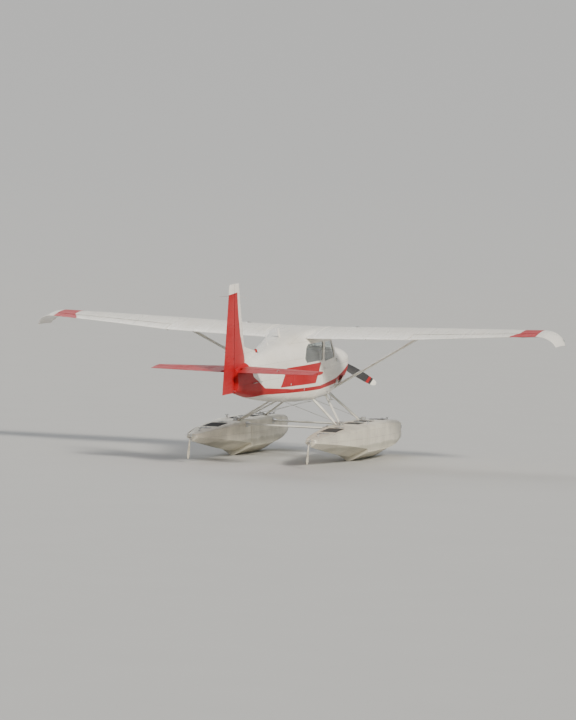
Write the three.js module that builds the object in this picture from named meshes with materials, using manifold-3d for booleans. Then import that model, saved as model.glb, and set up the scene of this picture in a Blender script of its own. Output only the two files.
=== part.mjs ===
// A high-wing single-engine floatplane on two long floats, as an assembly of separate pieces.
// Units are millimetres. World frame: +X forward, +Y to port (left), +Z up, z = 0 at the float keels,
// x = 0 at the middle of the length. The airframe has its own frame inside it: x from the firewall,
// z from the cabin belly, and it sits nose up on the floats by NOSE_UP degrees.
import * as THREE from "three";
import { mergeVertices } from "three/addons/utils/BufferGeometryUtils.js";
import Module from "manifold-3d";

const wasm = await Module();
wasm.setup();

// Driving dimensions
const GAP = 0.4; // between neighbouring pieces
const RUN = 6; // between a moving surface and what carries it
const NOSE_UP = 2.5; // degrees
const FIREWALL_X = 2382; // world place of the airframe's origin
const BELLY_Z = 1255;

const WALL = 32; // cabin wall and door thickness
const FIREWALL = 30;
const CABIN_FRONT = -340;
const CABIN_REAR = -3000;
const SILL_Z = 180;
const FLOOR_Z = 100;
const ROOF_Z = 1262;
const THRUST_Z = 640;

const ROOT_Y = 548;
const WING = {
  chord: 1626,
  leadX: -560,
  leadZ: 1345,
  incidence: 1.5,
  dihedral: 1.73,
  ratio: 0.12,
  camber: 0.02,
};
const WING_TIP = { y: 5080, chord: 1150, back: 130, incidence: -1.5 };
const WING_BREAK = 2550; // inner panel with flap, outer panel with aileron
const HALF_SPAN = 5460;
const FLAP = { from: 556, to: 2538, chordPart: 0.73, below: 12 };
const AILERON = { from: 2556, to: 5068, chordPart: 0.77 };

const STAB = {
  z: 900,
  half: 1650,
  rootLead: -4860,
  tipLead: -5130,
  hingeX: -5560,
  rootTail: -6050,
  tipTail: -5850,
};
const ELEVATOR = { inner: 150, innerTail: 195, tube: 20, hole: 28 };
const FIN = { base: 952, top: 2600, baseLead: -4950, topLead: -5480, hingeX: -5800, topTail: -6080 };
const RUDDER = { bottom: 480, bottomTail: -6400 };
const TAIL_END = -5745;

const PROP = { radius: 1090, hub: 75, face: 1135, spinner: 170, tip: 1430, rest: 28 };

const FLOAT_Y = 1225;
const FLOAT_BOW = 4032; // world x of the bow
const KEEL_HALF = 32;

const PIN = 6;
const BORE = 6.7;

// Fuselage sections: x, bottom, middle and top heights, half width, and how square the lower and
// the upper half are (2 is an ellipse)
const FUSELAGE = [
  { x: 0, bottom: 55, middle: 560, top: 985, half: 500, low: 3.6, high: 2.8 },
  { x: -130, bottom: 40, middle: 560, top: 1000, half: 515, low: 4, high: 3 },
  { x: -345, bottom: 20, middle: 560, top: 1190, half: 535, low: 4.5, high: 3.2 },
  { x: -600, bottom: 5, middle: 560, top: 1400, half: 546, low: 5, high: 3.6 },
  { x: -1000, bottom: 0, middle: 560, top: 1462, half: 548, low: 5, high: 8 },
  { x: -1500, bottom: 0, middle: 560, top: 1455, half: 545, low: 5, high: 8 },
  { x: -2186, bottom: 15, middle: 570, top: 1400, half: 515, low: 4.5, high: 4 },
  { x: -3000, bottom: 75, middle: 600, top: 1300, half: 425, low: 3.6, high: 3.2 },
  { x: -4400, bottom: 240, middle: 660, top: 1130, half: 268, low: 2.8, high: 2.6 },
  { x: TAIL_END, bottom: 470, middle: 700, top: 950, half: 118, low: 2.4, high: 2.3 },
];

const COWL = [
  { x: 0, bottom: 55, middle: 560, top: 985, half: 500, low: 3.6, high: 2.8 },
  { x: 350, bottom: 85, middle: 575, top: 968, half: 488, low: 3.4, high: 2.7 },
  { x: 700, bottom: 150, middle: 600, top: 922, half: 462, low: 3.0, high: 2.6 },
  { x: 950, bottom: 245, middle: 625, top: 868, half: 425, low: 2.7, high: 2.5 },
  { x: 1070, bottom: 320, middle: 640, top: 825, half: 375, low: 2.5, high: 2.4 },
  { x: 1120, bottom: 400, middle: 640, top: 785, half: 310, low: 2.4, high: 2.3 },
];

// Float sections: s back from the bow, heights of keel, chine and deck, half beam
const STEP_S = 3300;
const FLOAT_ROWS = [
  { s: 0, keel: 450, chine: 520, deck: 610, half: 110 },
  { s: 90, keel: 340, chine: 480, deck: 655, half: 190 },
  { s: 300, keel: 235, chine: 430, deck: 700, half: 268 },
  { s: 700, keel: 115, chine: 352, deck: 740, half: 345 },
  { s: 1250, keel: 35, chine: 262, deck: 762, half: 388 },
  { s: 1900, keel: 0, chine: 215, deck: 765, half: 400 },
  { s: STEP_S, keel: 0, chine: 200, deck: 748, half: 400 },
  { s: STEP_S + 2, keel: 80, chine: 268, deck: 748, half: 396 },
  { s: 4300, keel: 190, chine: 362, deck: 700, half: 352 },
  { s: 5200, keel: 305, chine: 436, deck: 640, half: 252 },
  { s: 6060, keel: 420, chine: 488, deck: 566, half: 112 },
];

// Outlines in side view, [x, z] from the firewall and the belly
const WINDSHIELD = [[-118, 985], [-320, 925], [-560, 1262], [-560, 1600], [-118, 1600]];
const DOOR = [[-345, 195], [-345, 833], [-380, 880], [-640, 1224], [-1290, 1224], [-1290, 195]];
const DOOR_WINDOW = [[-452, 800], [-690, 1172], [-1240, 1172], [-1240, 770]];
const REAR_WINDOW = [[-1350, 805], [-2330, 815], [-2450, 905], [-2330, 1120], [-2180, 1195], [-1350, 1195]];
const BAGGAGE_DOOR = [[-2560, 330], [-2560, 820], [-2960, 820], [-2960, 330]];
const DOOR_GAP = 5;

const WHITE = new THREE.MeshStandardMaterial({ color: 0xf1eee6, roughness: 0.32, metalness: 0.1 });
const RED = new THREE.MeshStandardMaterial({ color: 0xa8141c, roughness: 0.32, metalness: 0.1 });
const ALLOY = new THREE.MeshStandardMaterial({ color: 0xb4b5ae, roughness: 0.45, metalness: 0.7 });
const DARK = new THREE.MeshStandardMaterial({ color: 0x35373a, roughness: 0.6, metalness: 0.4 });
const GLASS = new THREE.MeshStandardMaterial({
  color: 0x2a3a40,
  roughness: 0.08,
  metalness: 0,
  opacity: 0.4,
  transparent: true,
});
const CLOTH = new THREE.MeshStandardMaterial({ color: 0x6b5a4a, roughness: 0.85, metalness: 0 });
const BLADE = new THREE.MeshStandardMaterial({ color: 0x8f9196, roughness: 0.35, metalness: 0.8 });

// Solids

function fromArrays(positions, index) {
  const geometry = new THREE.BufferGeometry();
  geometry.setAttribute("position", new THREE.Float32BufferAttribute(positions, 3));
  geometry.setIndex(index);
  return geometry;
}

// A closed three.js geometry as a solid.
function solid(geometry) {
  const bare = geometry.clone();
  bare.deleteAttribute("normal");
  bare.deleteAttribute("uv");
  const merged = mergeVertices(bare, 1e-4);
  const triVerts = [];
  const index = merged.index.array;
  for (let i = 0; i < index.length; i += 3) {
    const [a, b, c] = [index[i], index[i + 1], index[i + 2]];
    if (a !== b && b !== c && c !== a) triVerts.push(a, b, c);
  }
  const vertProperties = merged.attributes.position.array;
  const mesh = new wasm.Mesh({ numProp: 3, vertProperties, triVerts: new Uint32Array(triVerts) });
  return new wasm.Manifold(mesh);
}

function signedVolume(positions, index) {
  let total = 0;
  const corner = [new THREE.Vector3(), new THREE.Vector3(), new THREE.Vector3()];
  for (let i = 0; i < index.length; i += 3) {
    corner.forEach((v, k) => v.fromArray(positions, 3 * index[i + k]));
    total += corner[0].dot(corner[1].cross(corner[2]));
  }
  return total / 6;
}

function turned(index) {
  const out = [];
  for (let i = 0; i < index.length; i += 3) out.push(index[i], index[i + 2], index[i + 1]);
  return out;
}

// The solid moved by a matrix; a mirroring matrix turns the faces round.
function moved(body, matrix) {
  const mesh = body.getMesh();
  const point = new THREE.Vector3();
  const positions = [];
  for (let i = 0; i < mesh.numVert; i++) {
    point.fromArray(mesh.vertProperties, i * mesh.numProp).applyMatrix4(matrix);
    positions.push(point.x, point.y, point.z);
  }
  const index = Array.from(mesh.triVerts);
  return solid(fromArrays(positions, matrix.determinant() < 0 ? turned(index) : index));
}

const MIRROR = new THREE.Matrix4().makeScale(1, -1, 1);
const mirrored = (body) => moved(body, MIRROR);
const sided = (body, side) => (side > 0 ? body : mirrored(body));

// Triangles over a flat ring, in the ring's own order.
function capTriangles(ring) {
  const normal = new THREE.Vector3();
  ring.forEach((p, i) => {
    const q = ring[(i + 1) % ring.length];
    normal.x += (p[1] - q[1]) * (p[2] + q[2]);
    normal.y += (p[2] - q[2]) * (p[0] + q[0]);
    normal.z += (p[0] - q[0]) * (p[1] + q[1]);
  });
  const size = [Math.abs(normal.x), Math.abs(normal.y), Math.abs(normal.z)];
  const drop = size.indexOf(Math.max(...size));
  const flat = ring.map((p) => new THREE.Vector2(...p.filter((_, k) => k !== drop)));
  return THREE.ShapeUtils.triangulateShape(flat, []).map((t) => [...t].sort((a, b) => a - b));
}

// A closed solid through rings of equal point count, each point [x, y, z].
function loft(rings) {
  const n = rings[0].length;
  const index = [];
  for (let r = 0; r + 1 < rings.length; r++)
    for (let i = 0; i < n; i++) {
      const a = r * n + i;
      const b = r * n + ((i + 1) % n);
      index.push(a, b, b + n, a, b + n, a + n);
    }
  for (const [a, b, c] of capTriangles(rings[0])) index.push(a, c, b);
  const last = (rings.length - 1) * n;
  for (const [a, b, c] of capTriangles(rings[rings.length - 1])) index.push(last + a, last + b, last + c);
  const positions = rings.flat(2);
  return solid(fromArrays(positions, signedVolume(positions, index) < 0 ? turned(index) : index));
}

function box(x0, x1, y0, y1, z0, z1) {
  const geometry = new THREE.BoxGeometry(x1 - x0, y1 - y0, z1 - z0);
  return solid(geometry.translate((x0 + x1) / 2, (y0 + y1) / 2, (z0 + z1) / 2));
}

// A side-view outline [x, z] as a prism from y0 to y1.
function sidePrism(outline, y0, y1) {
  const shape = new THREE.Shape(outline.map(([x, z]) => new THREE.Vector2(x, z)));
  const geometry = new THREE.ExtrudeGeometry(shape, { depth: y1 - y0, bevelEnabled: false });
  const basis = new THREE.Matrix4().makeBasis(
    new THREE.Vector3(1, 0, 0),
    new THREE.Vector3(0, 0, 1),
    new THREE.Vector3(0, -1, 0),
  );
  return solid(geometry.applyMatrix4(basis).translate(0, y1, 0));
}

// A round bar from a to b.
function rod(a, b, radius, sides = 10, endRadius = radius) {
  const from = new THREE.Vector3(...a);
  const to = new THREE.Vector3(...b);
  const along = to.clone().sub(from);
  const geometry = new THREE.CylinderGeometry(endRadius, radius, along.length(), sides);
  const turn = new THREE.Quaternion();
  turn.setFromUnitVectors(new THREE.Vector3(0, 1, 0), along.clone().normalize());
  const middle = from.add(to).multiplyScalar(0.5);
  return solid(geometry.applyQuaternion(turn).translate(middle.x, middle.y, middle.z));
}

// A streamlined bar from a to b, its chord facing forward.
function strut(a, b, chord, thick, sides = 10) {
  const from = new THREE.Vector3(...a);
  const to = new THREE.Vector3(...b);
  const along = to.clone().sub(from).normalize();
  const ahead = new THREE.Vector3(1, 0, 0);
  ahead.addScaledVector(along, -ahead.dot(along)).normalize();
  const across = along.clone().cross(ahead);
  const ring = (centre) =>
    Array.from({ length: sides }, (_, i) => {
      const angle = (2 * Math.PI * i) / sides;
      const forward = Math.cos(angle) * chord * (Math.cos(angle) > 0 ? 0.35 : 0.65);
      const sideways = Math.sin(angle) * thick * 0.5;
      return centre.clone().addScaledVector(ahead, forward).addScaledVector(across, sideways).toArray();
    });
  return loft([ring(from), ring(to)]);
}

const joined = (bodies) => bodies.reduce((sum, next) => sum.add(next));
const radians = THREE.MathUtils.degToRad;
const mix = THREE.MathUtils.lerp;

// An outline moved outwards from its middle by a distance, for gaps round a door or a window.
function grown(outline, distance) {
  const area = THREE.ShapeUtils.area(outline.map(([x, z]) => new THREE.Vector2(x, z)));
  const turn = area > 0 ? 1 : -1;
  const edge = (p, q) => new THREE.Vector2(q[0] - p[0], q[1] - p[1]).normalize();
  return outline.map((p, i) => {
    const before = edge(outline[(i + outline.length - 1) % outline.length], p);
    const after = edge(p, outline[(i + 1) % outline.length]);
    const out1 = new THREE.Vector2(before.y, -before.x).multiplyScalar(turn);
    const out2 = new THREE.Vector2(after.y, -after.x).multiplyScalar(turn);
    const middle = out1.clone().add(out2).normalize();
    const reach = distance / Math.max(0.3, middle.dot(out1));
    return [p[0] + middle.x * reach, p[1] + middle.y * reach];
  });
}

// Bodies of revolving sections: fuselage and cowl

// Columns of the table at x, smooth and without overshoot.
function rowAt(table, x) {
  const rows = [...table].sort((p, q) => p.x - q.x);
  const i = Math.min(Math.max(rows.findIndex((row) => row.x > x) - 1, 0), rows.length - 2);
  const start = x >= rows[rows.length - 1].x ? rows.length - 2 : i;
  const secant = (k, key) => (rows[k + 1][key] - rows[k][key]) / (rows[k + 1].x - rows[k].x);
  const slope = (k, key) => {
    if (k === 0) return secant(0, key);
    if (k === rows.length - 1) return secant(k - 1, key);
    const [p, q] = [secant(k - 1, key), secant(k, key)];
    return p * q <= 0 ? 0 : (2 * p * q) / (p + q);
  };
  const step = rows[start + 1].x - rows[start].x;
  const t = (x - rows[start].x) / step;
  const out = { x };
  for (const key of Object.keys(rows[0]).filter((name) => name !== "x")) {
    const h00 = (1 + 2 * t) * (1 - t) ** 2;
    const h10 = t * (1 - t) ** 2;
    const h01 = t * t * (3 - 2 * t);
    const h11 = t * t * (t - 1);
    out[key] = h00 * rows[start][key] + h10 * step * slope(start, key);
    out[key] += h01 * rows[start + 1][key] + h11 * step * slope(start + 1, key);
  }
  return out;
}

const RING_POINTS = 20;

function bodyRing(table, x, grow) {
  const row = rowAt(table, x);
  return Array.from({ length: RING_POINTS }, (_, i) => {
    const angle = (2 * Math.PI * (i + 0.5)) / RING_POINTS;
    const [c, s] = [Math.cos(angle), Math.sin(angle)];
    const power = 2 / (s > 0 ? row.high : row.low);
    const height = s > 0 ? row.top - row.middle : row.middle - row.bottom;
    const y = (row.half + grow) * Math.sign(c) * Math.abs(c) ** power;
    return [x, y, row.middle + (height + grow) * Math.sign(s) * Math.abs(s) ** power];
  });
}

function hull(table, grow, stations) {
  return loft(stations.map((x) => bodyRing(table, x, grow)));
}

const CABIN_STATIONS = [0, -130, -345, -600, -1000, -1500, -2186, CABIN_REAR - 1];
const TAIL_STATIONS = [CABIN_REAR - GAP, -4400, TAIL_END];
const outer = hull(FUSELAGE, 0, CABIN_STATIONS);
const inner = hull(FUSELAGE, -WALL, [-FIREWALL, ...CABIN_STATIONS.slice(1, -1), CABIN_REAR - 5]);
const cabinShell = outer.subtract(inner);
const allStations = [...CABIN_STATIONS.slice(0, -1), CABIN_REAR, ...TAIL_STATIONS.slice(1)];
const outerGrown = hull(FUSELAGE, GAP, allStations);

const WIDE = 700;
const TALL = 1700;
const slab = (x0, x1, z0, z1) => box(x0, x1, -WIDE, WIDE, z0, z1);
const sideSlab = (side, x0, x1, z0, z1) => sided(box(x0, x1, 0.2, WIDE, z0, z1), side);
const sideCut = (outline, side) => sided(sidePrism(outline, 1, WIDE), side);

// The skin between two depths below the outer surface.
function skin(depth, thick) {
  const stations = CABIN_STATIONS.slice(1);
  return hull(FUSELAGE, -depth, stations).subtract(hull(FUSELAGE, -depth - thick, stations));
}

// Door hinges: two ears and a pin on the frame, a knuckle and its arm on the door
const DOOR_PIN = 4;
const DOOR_BORE = 4.7;
const KNUCKLE = 9;
const EAR_Z = 30;
const KNUCKLE_Z = 11;

function hingeEars(x, y, z) {
  const ear = (low, high) =>
    box(x, x + 36, y - 26, y + KNUCKLE, low, high).add(rod([x, y, low], [x, y, high], KNUCKLE));
  return joined([
    ear(z - EAR_Z, z - KNUCKLE_Z - 1),
    ear(z + KNUCKLE_Z + 1, z + EAR_Z),
    rod([x, y, z - EAR_Z + 2], [x, y, z + EAR_Z - 2], DOOR_PIN),
  ]);
}

function hingeKnuckle(x, y, z) {
  const [low, high] = [z - KNUCKLE_Z, z + KNUCKLE_Z];
  const arm = box(x - 46, x, y - 4, y + 6, low, high).add(box(x - 46, x - 16, y - 30, y + 2, low, high));
  const bore = rod([x, y, low - 5], [x, y, high + 5], DOOR_BORE);
  return rod([x, y, low], [x, y, high], KNUCKLE).add(arm).subtract(bore);
}

const DOOR_HINGE = { x: -338, y: 550, heights: [300, 740] };
const BAGGAGE_HINGE = { x: -2553, y: 492, heights: [420, 730] };

function boundedBy(hinge, make, side) {
  return sided(joined(hinge.heights.map((z) => make(hinge.x, hinge.y, z))), side);
}

function bootCowl() {
  const shell = cabinShell.intersect(slab(CABIN_FRONT, 5, -50, TALL));
  const glassCut = sidePrism(grown(WINDSHIELD, GAP), -WIDE, WIDE);
  const ears = [1, -1].map((side) => boundedBy(DOOR_HINGE, hingeEars, side));
  return joined([shell.subtract(glassCut), ...ears]);
}

function windshield() {
  return skin(0, 8).intersect(sidePrism(WINDSHIELD, -WIDE, WIDE));
}

function sidePanel(side) {
  let panel = cabinShell.intersect(sideSlab(side, CABIN_REAR, CABIN_FRONT - GAP, SILL_Z + GAP, ROOF_Z));
  panel = panel.subtract(sidePrism(grown(WINDSHIELD, GAP), -WIDE, WIDE));
  panel = panel.subtract(sideCut(grown(DOOR, DOOR_GAP), side)).subtract(sideCut(REAR_WINDOW, side));
  if (side > 0) {
    panel = panel.subtract(sideCut(grown(BAGGAGE_DOOR, DOOR_GAP), side));
    panel = panel.add(boundedBy(BAGGAGE_HINGE, hingeEars, side));
  }
  return panel;
}

function cabinDoor(side) {
  const leaf = cabinShell.intersect(sideCut(DOOR, side)).subtract(sideCut(DOOR_WINDOW, side));
  return leaf.add(boundedBy(DOOR_HINGE, hingeKnuckle, side));
}

const pane = (outline, side) => skin(10, 6).intersect(sideCut(grown(outline, -GAP), side));

function baggageDoor() {
  const leaf = cabinShell.intersect(sideCut(BAGGAGE_DOOR, 1));
  return leaf.add(boundedBy(BAGGAGE_HINGE, hingeKnuckle, 1));
}

function bellyPan() {
  const block = outer.intersect(slab(CABIN_REAR, CABIN_FRONT - GAP, -50, SILL_Z));
  const above = slab(CABIN_REAR - 20, CABIN_FRONT + 20, FLOOR_Z, TALL);
  const under = [[-WIDE, -265], [-235, 235], [265, WIDE]].map(([low, high]) =>
    box(CABIN_REAR - 20, CABIN_FRONT + 20, low, high, -50, FLOOR_Z - 20),
  );
  return [above, ...under].reduce((rest, bay) => rest.subtract(inner.intersect(bay)), block);
}

// Sections of the flying surfaces, in chord distance c back from the leading edge and height h

const THIN_EDGE = 2; // half thickness of a trailing edge

function skinHeights(section, c) {
  const f = Math.min(Math.max(c / section.chord, 0), 1);
  const shape = 0.2969 * Math.sqrt(f) - 0.126 * f - 0.3516 * f ** 2 + 0.2843 * f ** 3 - 0.1036 * f ** 4;
  const half = Math.max(5 * section.ratio * shape * section.chord, f > 0.5 ? THIN_EDGE : 0);
  const crest = 0.4;
  const rise = 2 * crest * f - f * f;
  const bend = f < crest ? rise / crest ** 2 : (1 - 2 * crest + rise) / (1 - crest) ** 2;
  const camber = section.camber * bend * section.chord;
  return { up: camber + half, down: camber - half, camber, half };
}

const FRONT_PARTS = [1, 0.65, 0.38, 0.18, 0.07, 0.018];
const REAR_PARTS = [0, 1];
const ARC_STEPS = 5;

// Upper skin from c = end forward to the nose, then the lower skin back to c = end.
function frontSkin(section, upperEnd, lowerEnd) {
  const up = FRONT_PARTS.map((part) => [part * upperEnd, skinHeights(section, part * upperEnd).up]);
  const down = FRONT_PARTS.map((part) => [part * lowerEnd, skinHeights(section, part * lowerEnd).down]);
  return [...up, [0, 0], ...down.reverse()];
}

// Lower skin from c = start to the trailing edge, then the upper skin back to c = start.
function rearSkin(section, start) {
  const at = (part) => mix(start, section.chord, part);
  const down = REAR_PARTS.map((part) => [at(part), skinHeights(section, at(part)).down]);
  const up = REAR_PARTS.map((part) => [at(part), skinHeights(section, at(part)).up]);
  return [...down, ...up.reverse()];
}

function hingeOf(section, c) {
  const { camber, half } = skinHeights(section, c);
  return { c, h: camber, r: half };
}

// Angle above the hinge's forward direction at which a circle round it meets the skin.
function lipAngle(section, hinge, radius, which) {
  let angle = 1;
  for (let i = 0; i < 30; i++) {
    const height = Math.abs(skinHeights(section, hinge.c - radius * Math.cos(angle))[which] - hinge.h);
    angle = Math.asin(Math.min(height / radius, 0.999));
  }
  return angle;
}

function arc(hinge, radius, from, to) {
  return Array.from({ length: ARC_STEPS + 1 }, (_, i) => {
    const angle = mix(from, to, i / ARC_STEPS);
    return [hinge.c - radius * Math.cos(angle), hinge.h + radius * Math.sin(angle)];
  });
}

// The part ahead of a hinge, with a round cove round the moving surface's nose.
function coveProfile(section, hinge) {
  const radius = hinge.r + RUN;
  const up = lipAngle(section, hinge, radius, "up");
  const down = lipAngle(section, hinge, radius, "down");
  const cove = arc(hinge, radius, -down, up);
  const skins = frontSkin(section, cove[ARC_STEPS][0], cove[0][0]);
  return [...skins.slice(1, -1), ...cove];
}

// The part behind a hinge, with a half-round nose.
function noseProfile(section, hinge) {
  const nose = arc(hinge, hinge.r, Math.PI / 2, -Math.PI / 2);
  return [...nose.slice(0, -1), ...rearSkin(section, hinge.c).slice(0, -1)];
}

// A surface says where its sections lie: section(s) and place(s, c, h) for a distance s along the span.
const between = (surface, stations, profile) =>
  loft(stations.map((s) => profile(surface.section(s), s).map(([c, h]) => surface.place(s, c, h))));

const hingePoint = (surface, s) => {
  const hinge = surface.hinge(s);
  return surface.place(s, hinge.c, hinge.h);
};

const SLOT_HALF = 6.5;
const PLATE_HALF = 5;
const PIN_HALF = 16;
const PLATE_DISC = 13;
const SLOT_BACK = 22;

// A plate with a round eye on the hinge, its root inside the fixed surface, and its pin.
function hingePlate(surface, s) {
  const outline = (_, at) => {
    const { c, h, r } = surface.hinge(at);
    const root = c - r - RUN - 14;
    const eye = Array.from({ length: 5 }, (_unused, i) => {
      const angle = Math.PI / 2 - (Math.PI * i) / 4;
      return [c + PLATE_DISC * Math.cos(angle), h + PLATE_DISC * Math.sin(angle)];
    });
    const high = Math.min(PLATE_DISC, r * 0.6);
    return [[root, h + high], ...eye, [root, h - high]];
  };
  const plate = between(surface, [s - PLATE_HALF, s + PLATE_HALF], outline);
  return plate.add(rod(hingePoint(surface, s - PIN_HALF), hingePoint(surface, s + PIN_HALF), PIN));
}

// What a moving surface loses round a hinge plate: a slot in its nose and a bore for the pin.
function hingeSlot(surface, s) {
  const outline = (_, at) => {
    const { c, h, r } = surface.hinge(at);
    const [front, back, tall] = [c - r - 5, c + SLOT_BACK, r + 20];
    return [[front, h - tall], [back, h - tall], [back, h + tall], [front, h + tall]];
  };
  const slot = between(surface, [s - SLOT_HALF, s + SLOT_HALF], outline);
  const reach = PIN_HALF + 1;
  return slot.add(rod(hingePoint(surface, s - reach), hingePoint(surface, s + reach), BORE));
}

// Wing, port side

function wingStation(y) {
  const out = Math.max(y - ROOT_Y, 0);
  const taper = Math.max(y - WING_BREAK, 0) / (WING_TIP.y - WING_BREAK);
  return {
    chord: mix(WING.chord, WING_TIP.chord, taper),
    x: WING.leadX - WING_TIP.back * taper,
    z: WING.leadZ + out * Math.tan(radians(WING.dihedral)),
    turn: radians(mix(WING.incidence, WING_TIP.incidence, taper)),
  };
}

const wingSection = (y) => ({ chord: wingStation(y).chord, ratio: WING.ratio, camber: WING.camber });

function wingPlace(y, c, h) {
  const { x, z, turn } = wingStation(y);
  return [x - c * Math.cos(turn) - h * Math.sin(turn), y, z - c * Math.sin(turn) + h * Math.cos(turn)];
}

// The aileron turns about a straight line, though the wing is twisted.
const hingeEnd = (y) => {
  const { c, h } = hingeOf(wingSection(y), AILERON.chordPart * wingStation(y).chord);
  return new THREE.Vector3(...wingPlace(y, c, h));
};
const hingeStart = hingeEnd(AILERON.from);
const hingeFinish = hingeEnd(AILERON.to);

function aileronHinge(y) {
  const part = (y - AILERON.from) / (AILERON.to - AILERON.from);
  const point = hingeStart.clone().lerp(hingeFinish, part);
  const { x, z, turn } = wingStation(y);
  const [back, above] = [x - point.x, point.z - z];
  const c = back * Math.cos(turn) - above * Math.sin(turn);
  const h = back * Math.sin(turn) + above * Math.cos(turn);
  return { c, h, r: skinHeights(wingSection(y), c).half };
}

const aileronSurface = { section: wingSection, place: wingPlace, hinge: aileronHinge };

const flapCut = FLAP.chordPart * WING.chord;
const flapSurface = {
  section: wingSection,
  place: wingPlace,
  hinge: () => ({ c: flapCut, h: skinHeights(wingSection(FLAP.from), flapCut).down - FLAP.below }),
};

const AILERON_HINGES = [2760, 3820, 4880];
const FLAP_HINGES = [720, 1547, 2374];
const FLAP_EYE = 11;
const FLAP_PLATE_HALF = 5;
const FLAP_LUG = 9;

// An outline made of a round eye and two points that lie inside what carries it.
function eyeOutline(hinge, radius, points) {
  const start = points[1];
  const from = Math.atan2(start[1], start[0]) + Math.PI / 2;
  const end = points[0];
  const to = Math.atan2(end[1], end[0]) - Math.PI / 2 + 2 * Math.PI;
  const sweep = ((to - from) % (2 * Math.PI) + 2 * Math.PI) % (2 * Math.PI);
  const eye = Array.from({ length: 6 }, (_, i) => {
    const angle = from + (sweep * i) / 5;
    return [hinge.c + radius * Math.cos(angle), hinge.h + radius * Math.sin(angle)];
  });
  return [...points.map(([c, h]) => [hinge.c + c, hinge.h + h]), ...eye];
}

function flapBracket(y) {
  const outline = () => eyeOutline(flapSurface.hinge(), FLAP_EYE, [[-40, 26], [-120, 26]]);
  const plate = between(flapSurface, [y - FLAP_PLATE_HALF, y + FLAP_PLATE_HALF], outline);
  const reach = FLAP_PLATE_HALF + 1 + FLAP_LUG;
  return plate.add(rod(hingePoint(flapSurface, y - reach), hingePoint(flapSurface, y + reach), PIN));
}

function flapLugs(y) {
  const outline = () => eyeOutline(flapSurface.hinge(), FLAP_EYE, [[95, 24], [22, 20]]);
  const near = FLAP_PLATE_HALF + 1;
  const lugs = [-1, 1].map((side) => {
    const ends = [y + side * near, y + side * (near + FLAP_LUG)];
    return between(flapSurface, ends, outline);
  });
  return joined(lugs);
}

const flapBore = (y) => rod(hingePoint(flapSurface, y - 18), hingePoint(flapSurface, y + 18), BORE);

function wing() {
  const innerPanel = between(flapSurface, [ROOT_Y + GAP, WING_BREAK + 1], (section) => {
    const cut = flapCut - RUN;
    return frontSkin(section, cut, cut);
  });
  const outerPanel = between(aileronSurface, [WING_BREAK, WING_TIP.y], (section, y) =>
    coveProfile(section, aileronSurface.hinge(y)),
  );
  const plates = AILERON_HINGES.map((y) => hingePlate(aileronSurface, y));
  return joined([innerPanel, outerPanel, ...plates, ...FLAP_HINGES.map(flapBracket)]);
}

function aileron() {
  const body = between(aileronSurface, [AILERON.from, AILERON.to], (section, y) =>
    noseProfile(section, aileronSurface.hinge(y)),
  );
  return AILERON_HINGES.reduce((rest, y) => rest.subtract(hingeSlot(aileronSurface, y)), body);
}

function flap() {
  const body = between(flapSurface, [FLAP.from, FLAP.to], (section) => rearSkin(section, flapCut));
  const withLugs = joined([body, ...FLAP_HINGES.map(flapLugs)]);
  return FLAP_HINGES.reduce((rest, y) => rest.subtract(flapBore(y)), withLugs);
}

// Drooped tip: y, chord, distance back of its leading edge, drop and thickness ratio
const TIP_ROWS = [
  { y: WING_TIP.y + GAP, chord: 1150, back: 0, drop: 0, ratio: 0.12 },
  { y: 5200, chord: 1128, back: 10, drop: 12, ratio: 0.115 },
  { y: 5320, chord: 1060, back: 45, drop: 58, ratio: 0.1 },
  { y: 5410, chord: 945, back: 105, drop: 132, ratio: 0.08 },
  { y: HALF_SPAN, chord: 800, back: 185, drop: 222, ratio: 0.045 },
];

function wingTip() {
  const ring = (row) => {
    const section = { chord: row.chord, ratio: row.ratio, camber: WING.camber };
    const front = frontSkin(section, row.chord * 0.5, row.chord * 0.5);
    const outline = [...front, ...rearSkin(section, row.chord * 0.75)];
    return outline.map(([c, h]) => {
      const [x, , z] = wingPlace(WING_TIP.y, c + row.back, h);
      return [x, row.y, z - row.drop + (row.y - WING_TIP.y) * Math.tan(radians(WING.dihedral))];
    });
  };
  return loft(TIP_ROWS.map(ring));
}

// The cabin roof carries the wing's middle section.
function cabinRoof() {
  const shell = cabinShell.intersect(slab(CABIN_REAR, WINDSHIELD[2][0] - GAP, ROOF_Z + GAP, TALL));
  const half = ROOT_Y - GAP;
  const ring = (y) => fullProfile(wingSection(ROOT_Y)).map(([c, h]) => {
    const [x, , z] = wingPlace(ROOT_Y, c, h);
    return [x, y, z];
  });
  const above = slab(-2300, WINDSHIELD[2][0] - GAP, ROOF_Z + GAP, TALL);
  const middle = loft([ring(-half), ring(half)]).intersect(above);
  return shell.add(middle);
}

function fullProfile(section) {
  const front = frontSkin(section, section.chord * 0.6, section.chord * 0.6);
  return [...front, ...rearSkin(section, section.chord * 0.8)];
}

// Tail

const TAIL_RATIO = 0.09;
const stabLead = (y) => mix(STAB.rootLead, STAB.tipLead, Math.abs(y) / STAB.half);
const stabTail = (y) => mix(STAB.rootTail, STAB.tipTail, Math.abs(y) / STAB.half);
const stabSection = (y) => ({ chord: stabLead(y) - stabTail(y), ratio: TAIL_RATIO, camber: 0 });
const stabSurface = {
  section: stabSection,
  place: (y, c, h) => [stabLead(y) - c, y, STAB.z + h],
  hinge: (y) => hingeOf(stabSection(y), stabLead(y) - STAB.hingeX),
};
const ELEVATOR_HINGES = [-1450, -620, 620, 1450];

const STAB_STATIONS = [-STAB.half, 0, STAB.half];

function stabilizer() {
  const fixed = between(stabSurface, STAB_STATIONS, (section, y) =>
    coveProfile(section, stabSurface.hinge(y)),
  );
  return joined([fixed, ...ELEVATOR_HINGES.map((y) => hingePlate(stabSurface, y))]);
}

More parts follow.
